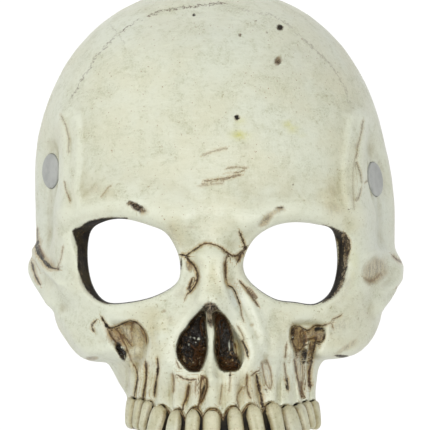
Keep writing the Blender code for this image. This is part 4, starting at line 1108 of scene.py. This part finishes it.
def place_tooth(peg, row, drop, rng):
    """A copy of the peg bent to a row of the table, with its neck arched by the gum's drop."""
    left, right, low_left, low_right, top, length = row
    neck = picture_to_arc((left + right) / 2, top)
    low = picture_to_arc((low_left + low_right) / 2, top + NECK_TO_LOW_PX)
    facing = np.array(on_tooth_arc(neck[0])[1])
    down = (low - neck) / np.linalg.norm(low - neck)
    down[2] = 0
    across = np.cross(down, facing) * -1
    across /= np.linalg.norm(across)
    narrow, wide = (right - left) * NECK_FILLS, (low_right - low_left) * LOW_FILLS
    scale = mm_per_px(neck[2])
    shape = get_vectors(peg.data.vertices)
    u, v, w = shape[:, 0], shape[:, 1], (1 - shape[:, 2]) / 2
    full = length + ROOT_SUNK
    rounding = (0, PEG_ROUND / 2, 1 - PEG_ROUND / 2, 1)
    w = np.interp(w, rounding, (0, NECK_ROUND / full, 1 - TIP_ROUND / full, 1))
    swing = rng.uniform(-1, 1, 4)
    # a tooth widens or narrows down its length, and is thickest two thirds down
    width = (narrow + (wide - narrow) * smooth_step(w * 1.4)) * scale / 2
    width = width * (1 + WAVY * np.sin(3 * w + 3 * swing[0])) / abs(across[0]) ** 0.9
    depth = TOOTH_DEPTH / 2 * (0.84 + 0.24 * np.sin(math.pi * np.clip(w * 0.9 + 0.1, 0, 1)))
    crease = CREASE * bell((u - 0.25 * swing[1]) / CREASE_WIDTH) * smooth_step(w * 2) * (v > 0)
    along = w * full - ROOT_SUNK
    along += drop * scale * np.abs(u) ** 2.2 * (1 - smooth_step(w / 0.5))
    points = neck + down * along[:, None] + across * (u * width)[:, None]
    forward = TOOTH_FORWARD - TOOTH_TUCK * abs(facing[0])
    points += facing * (v * depth - crease + UNEVEN_SET * swing[2] + forward)[:, None]
    tooth = peg.copy()
    tooth.data = peg.data.copy()
    bpy.context.scene.collection.objects.link(tooth)
    set_points(tooth.data, to_frame(points))
    for name, value in (("across", u), ("along", w), ("front", v)):
        tooth.data.attributes.new(name, "FLOAT", "POINT").data.foreach_set("value", value)
    return tooth


peg = make_peg()
rng = np.random.default_rng(TOOTH_SEED)
pegs = [place_tooth(peg, row, drop, rng) for row, drop in zip(TEETH_PX, PAPILLA)]
bpy.data.objects.remove(peg)
select_only(*pegs)
bpy.ops.object.join()
teeth = bpy.context.object
teeth.name = "upper_teeth"
face_outward(teeth)
print("teeth", len(pegs), "pegs,", len(teeth.data.polygons), "faces")

# %% [markdown]
# ## Where the stain, the painted shade and the painted glints lie
# The real finish is a pale paint with brown wiped over it, which stays in whatever is sunk, and
# a few near-black strokes. Some numbers stand for light instead: painted shade in the hollows, on
# cooler spots and in the gaps between the teeth, and painted glints on the dark stain. Each of
# the tables above becomes a number on every point of the wall. A stain is kept as its amount and
# the distance from its edge, so that the material can fray the edge. A crack is much thinner than
# the gaps between points, so for it the points hold how far they are to one side or the other of
# its line, and the material finds the crack where that number passes through zero.

# %% Stain, painted shade and painted glints on every point
FAR = 20.0
SEAM_REACH_PX = 12.0
EDGE_REACH, EDGE_COUNTS = 4.0, 0.002
# the varnish lies in the areas that are deeper than this, in mm
WET_FROM = 1.5
# below the gum's edge, on the wall behind the teeth: brown stain and black painted shade for the gaps
# between the teeth, where each starts and how soon it is full, in px
GUM_STAIN_AND_SHADE, GUM_FADE_PX = (("wash", 1.0), ("ink", 2.2)), 0.8
GUM_SPAN, GUM_BOX = (125.0, 320.0), ((128, 395), (317, 430))
GUM_CRACK = (0.6, 0.6, 0.95, 0)
JAW_SIDE_PX, JAW_SIDE_FADE, JAW_SIDE_INK, JAW_SIDE_WASH = 394, 3, 0.75, 0.35
# how steep the wall may be, by its upward slope, for the picture's stains and for the full grime and painted
# shade in the hollows
SEEN_FROM, SEEN_BLEND, FRONT_FROM, FRONT_BLEND, SIDE_GRIME_AND_SHADE = 0.02, 0.12, 0.2, 0.4, 0.35
# what the points of a surface without stain or cracks say
CLEAN = {
    "wash": 0, "wash_edge": -EDGE_REACH, "ink": 0, "ink_edge": -EDGE_REACH, "sunk": 0, "bare": -EDGE_REACH,
    "wet": 0, "crack": FAR, "crack_near": FAR, "tone": 0, "strength": 0, "seam": FAR,
    "seam_strength": 0, "yellow": 0, "warm": 0, "cool_shade": 0,
}
CRACK_NAMES = ("crack", "crack_near", "seam", "seam_strength")
TOOTH_WARM = 0.6


def soft_spots(px, py, table):
    """The strongest of a table's soft round spots at each point."""
    total = np.zeros(px.shape)
    for x, y, across, down, strength in table:
        size = ((px - x) / across) ** 2 + ((py - y) / down) ** 2
        total = np.maximum(total, strength * np.exp(-size))
    return total


def keep(where, here, numbers_and_values):
    """Puts each value in its array of numbers at the points of here where the first says so."""
    for numbers, value in numbers_and_values:
        numbers[here] = np.where(where, value, numbers[here])


def lay(layers, here, edge, amounts):
    """Keeps the stains' amounts and distances from the edge wherever they are the strongest."""
    edge = np.clip(edge, -EDGE_REACH, EDGE_REACH)
    for name, amount in amounts:
        if amount:
            weight = amount * smooth_step(0.5 + edge / 2) + EDGE_COUNTS * edge
            keep(weight > layers[name][2][here], here, zip(layers[name], (amount, edge, weight)))


def stain_numbers(px, py):
    """All the numbers that the paint reads, by name, for points seen at px, py."""
    full = {name: np.full(px.shape, float(value)) for name, value in CLEAN.items()}
    wet, bare, tone, strength = (full[name] for name in ("wet", "bare", "tone", "strength"))
    crack, crack_near, seam, seam_strength = (full[name] for name in CRACK_NAMES)
    layers = {name: (full[name], full[name + "_edge"], np.full(px.shape, -1.0)) for name in ("wash", "ink")}
    for corners, feather, brown, dark, depth in AREAS:
        here = near(px, py, corners, 4 * feather + 3)
        edge = distance_inside(px[here], py[here], corners, CORNER_POINTS) / feather
        lay(layers, here, edge, (("wash", brown), ("ink", dark)))
        if depth > WET_FROM:
            wet[here] = np.maximum(wet[here], smooth_step(0.5 + edge / 2))
    for spot in SPOTS:
        here = near(px, py, [spot[:2]], 2 * max(spot[2], spot[3]) + 4 * spot[5])
        edge = -distance_to_spot(px[here], py[here], spot) / spot[5]
        lay(layers, here, edge, (("wash", spot[6]), ("ink", spot[7])))
    # painted highlight: the white glints on the dark stain
    for spot in PAINTED_GLINT_SPOTS:
        here = near(px, py, [spot[:2]], GLINT_MARGIN)
        bare[here] = np.maximum(bare[here], -distance_to_spot(px[here], py[here], spot))
    # painted shade: the wall behind the teeth, seen in their gaps, is stained brown and painted black
    here = near(px, py, GUM_BOX, LINE_MARGIN)
    below = py[here] - gum_edge(px[here])
    for name, start in GUM_STAIN_AND_SHADE:
        lay(layers, here, (below - start) / GUM_FADE_PX, ((name, 1),))
    gum_px = np.arange(*GUM_SPAN)
    gum_line = np.stack((gum_px, gum_edge(gum_px)), -1)
    for width, dark, amount, _, points in (*CRACKS, (*GUM_CRACK, gum_line)):
        here = near(px, py, points, LINE_MARGIN)
        side = distance_to_line(px[here], py[here], points, signed=True) / width
        found = ((crack, side), (crack_near, np.abs(side)), (tone, dark), (strength, amount))
        keep(np.abs(side) < crack_near[here], here, found)
    for amount, points in SEAMS:
        side = distance_to_line(px, py, points, signed=True)
        closer = np.abs(side) < np.minimum(np.abs(seam), SEAM_REACH_PX)
        keep(closer, np.s_[:], ((seam, side), (seam_strength, amount)))
    for name, table in (("yellow", YELLOW_SPOTS), ("warm", WARM_SPOTS), ("cool_shade", COOL_SHADE_SPOTS)):
        full[name] = soft_spots(px, py, table)
    return full


def write_numbers(mesh, numbers):
    """Writes named numbers on a mesh's points, one for each point or one for all of them."""
    for name, value in numbers.items():
        layer = mesh.attributes.new(name, "FLOAT", "POINT")
        layer.data.foreach_set("value", np.full(len(mesh.vertices), value, float))


wall_points = get_vectors(wall.data.vertices)
wall_px, wall_py = in_picture(from_frame(wall_points))
on_outside = np.zeros(len(wall_points), bool)
for polygon in wall.data.polygons:
    if polygon.material_index == PAINTED:
        on_outside[list(polygon.vertices)] = True
upward = get_vectors(wall.data.vertex_normals, "vector")[:, 2]
facing_up = smooth_step((upward - SEEN_FROM) / SEEN_BLEND) * on_outside
numbers = stain_numbers(wall_px, wall_py)
grid_points = to_frame(outer_grid).reshape(-1, 3)
finder = kdtree.KDTree(len(grid_points))
for place, point in enumerate(grid_points):
    finder.insert(point, place)
finder.balance()
nearest = [finder.find(point)[1] for point in wall_points]
# painted shade: the darkening in the hollows is weaker on the steep side walls
in_front = smooth_step((upward - FRONT_FROM) / FRONT_BLEND)
sunk_here = sunk_grid.ravel()[nearest]
grime_and_shade_share = SIDE_GRIME_AND_SHADE + (1 - SIDE_GRIME_AND_SHADE) * in_front
numbers["sunk"] = np.where(sunk_here > 0, sunk_here * grime_and_shade_share, sunk_here) * on_outside
numbers["bare"] = np.where(facing_up > 0.5, numbers["bare"], -EDGE_REACH)
# at the sides of the jaw the painted shade in the gaps between the teeth is brown and not black
jaw_side = (1 - in_front) * smooth_step((wall_py - JAW_SIDE_PX) / JAW_SIDE_FADE)
numbers["ink"] *= 1 - JAW_SIDE_INK * jaw_side
numbers["wash"] *= 1 - JAW_SIDE_WASH * jaw_side
for name in ("wash", "ink", "wet", "strength", "seam_strength", "yellow", "warm", "cool_shade"):
    numbers[name] *= facing_up
write_numbers(wall.data, numbers)
tooth_layers = (teeth.data.attributes[name].data for name in ("across", "along", "front"))
tooth_u, tooth_w, tooth_v = (np.array([item.value for item in layer]) for layer in tooth_layers)
# painted shade: brown on the flanks and near-black deep in the gaps and behind, where shade falls; brown
# stain at the neck
tooth_side = smooth_step((np.abs(tooth_u) - 0.6) / 0.4)
tooth_dirt_and_shade = tooth_side * smooth_step((0.58 - tooth_v) / 0.5)
tooth_dirt_and_shade = np.maximum(tooth_dirt_and_shade, smooth_step(-tooth_v * 2))
tooth_dirt_and_shade = np.maximum(tooth_dirt_and_shade, smooth_step((0.035 - tooth_w) / 0.03))
tooth_wash_and_shade = np.maximum(tooth_dirt_and_shade, 0.5 * tooth_side + 0.34 * smooth_step((0.22 - tooth_w) / 0.2))
tooth_ink_and_shade = smooth_step((tooth_dirt_and_shade - 0.3) / 0.6)
# a little grime on every tooth, and more painted shade on its flanks
tooth_grime_and_shade = 0.46 + 0.54 * tooth_side
write_numbers(teeth.data, {
    **CLEAN, "wash": tooth_wash_and_shade, "wash_edge": EDGE_REACH, "ink": tooth_ink_and_shade, "ink_edge": EDGE_REACH,
    "sunk": tooth_grime_and_shade, "warm": TOOTH_WARM,
})
print("points with stain", (numbers["wash"] > 0.05).sum(), "near a crack", (numbers["crack_near"] < 2).sum())

# %% [markdown]
# ## A short way to write a material
# A material is a sum of masks and colours, which is easier to read as arithmetic than as a list
# of nodes. The class below stands for one output of a node, and adding or multiplying two of
# them adds the Math node that does it.

# %% Sockets that can be reckoned with
class Wire:
    """One output of a node, or a plain number, which can be used in sums."""

    def __init__(self, tree, socket):
        self.tree, self.socket = tree, socket

    def feed(self, node, inputs):
        """Sets or links a node's sockets, each by its name or by n and its number."""
        for key, value in inputs.items():
            name = int(key[1:]) if key[0] == "n" and key[1:].isdigit() else key.replace("_", " ")
            if isinstance(value, Wire):
                self.tree.links.new(value.socket, node.inputs[name])
            else:
                node.inputs[name].default_value = value

    def node(self, kind, output, settings=None, **inputs):
        """Adds a node: its settings first, then its sockets. Gives one of its outputs."""
        node = self.tree.nodes.new(kind)
        for key, value in (settings or {}).items():
            setattr(node, key, value)
        self.feed(node, inputs)
        return Wire(self.tree, node.outputs[output])

    def maths(self, operation, *values):
        """A Math node on this wire and other values."""
        inputs = {f"n{i}": value for i, value in enumerate(values)}
        return self.node("ShaderNodeMath", 0, {"operation": operation}, **inputs)

    def __add__(self, other):
        return self.maths("ADD", self, other)

    def __radd__(self, other):
        return self.maths("ADD", other, self)

    def __sub__(self, other):
        return self.maths("SUBTRACT", self, other)

    def __rsub__(self, other):
        return self.maths("SUBTRACT", other, self)

    def __mul__(self, other):
        return self.maths("MULTIPLY", self, other)

    def __rmul__(self, other):
        return self.maths("MULTIPLY", other, self)

    def __abs__(self):
        return self.maths("ABSOLUTE", self)

    def most(self, other):
        """The larger of the two."""
        return self.maths("MAXIMUM", self, other)

    def ramp(self, low, high):
        """0 at low, 1 at high and an even curve in between; low may be the larger."""
        settings = {"interpolation_type": "SMOOTHSTEP"}
        return self.node("ShaderNodeMapRange", "Result", settings, Value=self, From_Min=low, From_Max=high)


class Paint(Wire):
    """A new material with its shader, ready for sums."""

    def __init__(self, name):
        self.material = bpy.data.materials.new(name)
        self.material.use_nodes = True
        super().__init__(self.material.node_tree, None)
        self.shader = self.tree.nodes["Principled BSDF"]
        self.place = self.node("ShaderNodeTexCoord", "Object")

    def number(self, name):
        """A number that the points of the mesh hold."""
        return self.node("ShaderNodeAttribute", "Fac", {"attribute_name": name})

    def noise(self, per_metre, detail, roughness, distortion=0.0, stretch=None):
        """Cloudy noise on the piece, with its number of clouds in a metre."""
        place = self.place
        if stretch:
            place = self.node("ShaderNodeMapping", "Vector", Vector=place, Scale=stretch)
        return self.node("ShaderNodeTexNoise", "Fac", Vector=place, Scale=per_metre, Detail=detail,
                         Roughness=roughness, Distortion=distortion)

    def mix(self, mask, under, over):
        """Two colours laid over each other by a mask."""
        return self.node("ShaderNodeMix", 2, {"data_type": "RGBA"}, n0=mask, n6=under, n7=over)

    def bump(self, height, distance):
        """A bump whose full height is a distance in metres."""
        return self.node("ShaderNodeBump", "Normal", Height=height, Distance=distance)

    def finish(self, **inputs):
        """Sets or links the shader's own sockets."""
        self.feed(self.shader, inputs)
        return self.material


def colour(red, green, blue):
    """A paint colour from the 0 to 255 values that a paint card gives."""
    parts = [value / 255 for value in (red, green, blue)]
    return (*(p / 12.92 if p <= 0.04045 else ((p + 0.055) / 1.055) ** 2.4 for p in parts), 1.0)


# %% [markdown]
# ## The bone paint
# Bone white with a breath of green, warmer where the brown was rubbed off again, in a satin
# finish with the marks of the brush. The washes are broken up with noise, because a wiped stain
# never has an even edge. Painted shade darkens the hollows, the cooler spots and the teeth's
# flanks, and painted highlights lighten the raised places and fleck the dark stain as glints.

# %% Bone paint with its brown wash
BONE = colour(222, 225, 206)
BONE_WARM = colour(210, 203, 164)
# cooler, greyer bone for painted shade
BONE_COOL_SHADE = colour(208, 214, 208)
BONE_YELLOW = colour(206, 204, 120)
BONE_OLIVE = colour(178, 180, 146)
BONE_LIGHT = colour(233, 236, 216)
# also the colour of the painted shade in the hollows
GRIME_AND_SHADE = colour(158, 148, 104)
TAN = colour(174, 140, 74)
LIGHT_BROWN = colour(142, 94, 38)
BROWN = colour(88, 54, 20)
INK = colour(6, 4, 2)
DARK_OLIVE = colour(58, 50, 26)


def bone_paint():
    """The finish of the wall's outside and of the teeth."""
    paint = Paint("painted_bone")
    clouds = paint.noise(38, 4, 0.55)
    blotch = paint.noise(150, 5, 0.65, 0.4)
    grain = paint.noise(480, 3, 0.6)
    fine = paint.noise(1300, 3, 0.65)
    streaks = paint.noise(560, 3, 0.6, 0.7, stretch=(1.0, 0.24, 1.0))
    patches = paint.noise(360, 4, 0.65, 1.4)
    dabs = paint.noise(92, 6, 0.72, 0.5)
    # masks
    wash = paint.number("wash")
    uneven = (blotch - 0.5) * 2.0 + (streaks - 0.5) * 2.4 + (fine - 0.5) * 2.2
    worn = (streaks * 0.5 + fine * 0.5).ramp(0.42, 0.6)
    wash_mask = (paint.number("wash_edge") + uneven).ramp(-1.0, 1.2) * wash
    wash_mask = wash_mask * (1.0 - worn * (1.0 - wash * 0.85))
    ink = paint.number("ink")
    ink_mask = (paint.number("ink_edge") + (grain - 0.5) * 1.6 + (fine - 0.5) * 3.0).ramp(-0.9, 0.9)
    ink_mask = ink_mask * (ink + (patches - 0.5) * 1.6 * ink.ramp(0.95, 0.6)).ramp(0.25, 0.7)
    sunk = paint.number("sunk")
    wet = paint.number("wet")
    width = (grain - 0.5) * 2.6 + (blotch - 0.5) * 2.2
    close = paint.number("crack_near").ramp(3.4, 2.8)
    strength = paint.number("strength")
    wander = (paint.noise(800, 2, 0.6) - 0.5) * 1.8
    side = abs(paint.number("crack") + wander)
    crack = side + width
    crack_mask = crack.ramp(1.3, 0.55) * close * strength * (0.55 + 0.45 * fine.ramp(0.3, 0.55))
    halo = (side + width * 1.6).ramp(4.2, 0.6)
    halo = halo * paint.number("crack_near").ramp(7, 5) * strength * (0.34 + 0.56 * fine.ramp(0.35, 0.65))
    zigzag = (paint.noise(620, 1, 0.5) - 0.5) * 8.0
    seam = abs(paint.number("seam") + zigzag)
    seam_mask = seam.ramp(0.95, 0.2) * paint.number("seam_strength") * blotch.ramp(0.36, 0.52) * 0.75
    specks = paint.noise(1000, 1, 0.5).ramp(0.71, 0.77) * clouds.ramp(0.42, 0.58) * 0.75
    warm = paint.number("warm")
    pepper = paint.noise(760, 2, 0.6).ramp(0.6, 0.68) * (dabs.ramp(0.5, 0.62) + 1.6 * warm) * 0.42
    hair = paint.noise(640, 3, 0.6, 0.6, stretch=(0.24, 1.0, 1.0))
    # colours, from the bottom coat up
    shade = paint.mix(clouds.ramp(0.35, 0.7) * 0.3, BONE, BONE_WARM)
    shade = paint.mix(warm * clouds.ramp(0.25, 0.6), shade, BONE_WARM)
    # painted shade: cooler and greyer on the spots where shade falls
    shade = paint.mix(paint.number("cool_shade") * 0.8, shade, BONE_COOL_SHADE)
    shade = paint.mix(paint.number("yellow") * blotch.ramp(0.3, 0.6), shade, BONE_YELLOW)
    dabbed = dabs.ramp(0.44, 0.66) * (0.25 + 0.75 * fine.ramp(0.42, 0.58)) * 0.48
    shade = paint.mix(dabbed, shade, BONE_OLIVE)
    shade = paint.mix(grain.ramp(0.56, 0.68) * 0.24 + hair.ramp(0.44, 0.36) * 0.1, shade, BONE_OLIVE)
    shade = paint.mix(hair.ramp(0.56, 0.66) * 0.25, shade, BONE_LIGHT)
    # painted highlight on the raised places, and grime with painted shade in the hollows, by how sunk each
    # place is
    shade = paint.mix(sunk.ramp(-0.15, -0.9) * 0.45, shade, BONE_LIGHT)
    shade = paint.mix(sunk.ramp(0.0, 1.0) * (0.55 + 0.6 * dabs.ramp(0.35, 0.65)) * 0.6, shade, GRIME_AND_SHADE)
    shade = paint.mix(pepper, shade, GRIME_AND_SHADE)
    shade = paint.mix(halo, shade, TAN)
    shade = paint.mix(seam_mask, shade, BROWN)
    brown = paint.mix((worn * 0.7 + patches * 0.6).ramp(0.2, 0.9), BROWN, TAN)
    brown = paint.mix(wash.ramp(0.55, 1.0) * 0.45, brown, BROWN)
    shade = paint.mix(wash_mask * 0.94, shade, brown)
    rubbed = wet * (1.0 - 0.85 * ink.ramp(0.6, 0.95))
    strokes = paint.noise(720, 4, 0.8, 1.2, stretch=(1.0, 0.4, 1.0))
    deep = paint.mix(strokes.ramp(0.54, 0.57) * rubbed, INK, BROWN)
    deep = paint.mix(strokes.ramp(0.575, 0.6) * rubbed, deep, LIGHT_BROWN)
    deep = paint.mix(strokes.ramp(0.61, 0.635) * rubbed, deep, BONE_WARM)
    deep = paint.mix(blotch.ramp(0.45, 0.62) * (1.0 - wet) * 0.6, deep, DARK_OLIVE)
    shade = paint.mix(ink_mask * 0.97, shade, deep)
    tone = paint.number("tone")
    line = paint.mix(tone.ramp(0.0, 0.5), LIGHT_BROWN, BROWN)
    line = paint.mix(tone.ramp(0.4, 1.0), line, INK)
    line = paint.mix(crack.ramp(0.8, 0.3) * tone.ramp(0.35, 0.75) * 0.6, line, INK)
    shade = paint.mix(crack_mask.most(specks), shade, line)
    # painted highlight: white glints on the dark stain, in the lightest bone colour
    bare = (paint.number("bare") + (fine - 0.5)).ramp(-0.5, 0.4)
    shade = paint.mix(bare * 0.95, shade, BONE_LIGHT)
    # surface
    brush = paint.noise(300, 3, 0.6, 0.3, stretch=(1.0, 0.35, 1.0))
    dry = 1.0 - wet
    height = brush * 0.6 + (grain * 0.3 + fine * 0.25) * dry - crack_mask * 0.9 - seam_mask * 0.5
    height = height + wash_mask * (streaks - 0.5) * 1.2 * dry + wet * ((patches - 0.5) * 3.0 + grain)
    return paint.finish(
        Base_Color=shade,
        Roughness=0.33 + 0.16 * grain + 0.14 * wash_mask + 0.27 * ink_mask - 0.56 * wet,
        Normal=paint.bump(height, 0.00045),
        Specular_IOR_Level=0.45,
    )


def raw_casting():
    """The unpainted inside, matt and a little uneven."""
    raw = Paint("raw_casting")
    clouds, grain = raw.noise(45, 4, 0.6), raw.noise(700, 3, 0.6)
    shade = raw.mix(clouds.ramp(0.3, 0.7), colour(206, 204, 190), colour(222, 221, 210))
    return raw.finish(
        Base_Color=shade, Roughness=0.6 + 0.2 * grain, Normal=raw.bump(grain + clouds * 2, 0.0004)
    )


def dark_edge():
    """The edges of the eye openings, where the dark stain was painted on thickly."""
    edge = Paint("dark_edge")
    blotch, grain = edge.noise(150, 4, 0.6), edge.noise(800, 3, 0.6)
    shade = edge.mix(blotch.ramp(0.45, 0.7), colour(22, 19, 11), colour(54, 48, 28))
    return edge.finish(Base_Color=shade, Roughness=0.6 + 0.2 * grain, Normal=edge.bump(grain, 0.0003))


def stud_plastic():
    """Grey matt plastic with a faint sheen and fine scuffs."""
    plastic = Paint("stud_plastic")
    clouds, scuffs = plastic.noise(160, 3, 0.6), plastic.noise(1400, 3, 0.6, stretch=(1, 0.2, 1))
    shade = plastic.mix(clouds.ramp(0.3, 0.7), colour(166, 168, 164), colour(184, 186, 181))
    return plastic.finish(
        Base_Color=shade, Roughness=0.42 + 0.2 * scuffs, Normal=plastic.bump(scuffs + clouds, 0.00015)
    )


bone = bone_paint()
for slot, material in ((PAINTED, bone), (RAW_INSIDE, raw_casting()), (EYE_EDGE, dark_edge())):
    wall.data.materials[slot] = material
teeth.data.materials.append(bone)
grey = stud_plastic()
for name, node in frame["nodes"].items():
    if "stud" in name:
        for slot in node.material_slots:
            slot.material = grey
for piece in (wall, teeth):
    select_only(piece)
    bpy.ops.object.shade_smooth_by_angle(angle=math.radians(40))
    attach(piece, "root")
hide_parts("mask_shell")
print("materials", [material.name for material in bpy.data.materials if material.users])

# %% [markdown]
# ## Floor and light
# The mask lies on a pale light table, so that its openings look bright from above. One large
# soft lamp hangs above, a small flash beside it, and a low key lamp stands at the upper left.
# The world gives an even light from all round.

# %% Light table and lamps
bpy.ops.mesh.primitive_plane_add(size=8)
floor = bpy.context.object
floor.name = "floor"
table = Paint("light_table")
floor.data.materials.append(table.finish(
    Base_Color=colour(90, 90, 90), Roughness=0.9, Emission_Color=(1, 1, 1, 1), Emission_Strength=0.96,
))


def soft_lamp(name, place, size, power, tint):
    """A square lamp that looks at the mask."""
    data = bpy.data.lights.new(name, "AREA")
    data.size, data.energy, data.color = size, power, tint
    lamp = bpy.data.objects.new(name, data)
    lamp.location = place
    lamp.rotation_euler = (-Vector(place)).to_track_quat("-Z", "Y").to_euler()
    bpy.context.scene.collection.objects.link(lamp)


soft_lamp("soft", (-0.05, -0.1, 1.45), 1.0, 8.8, (0.995, 1.0, 1.0))
soft_lamp("flash", (0.05, -0.1, 1.4), 0.22, 4.2, (1.0, 1.0, 1.0))
soft_lamp("key", (-0.7, 0.8, 0.6), 0.4, 2.3, (1.0, 1.0, 0.98))
world = bpy.data.worlds.new("studio")
world.use_nodes = True
background = world.node_tree.nodes["Background"].inputs
background["Color"].default_value, background["Strength"].default_value = (1, 1, 1, 1), 0.33
bpy.context.scene.world = world
bpy.context.scene.view_settings.view_transform = "Standard"
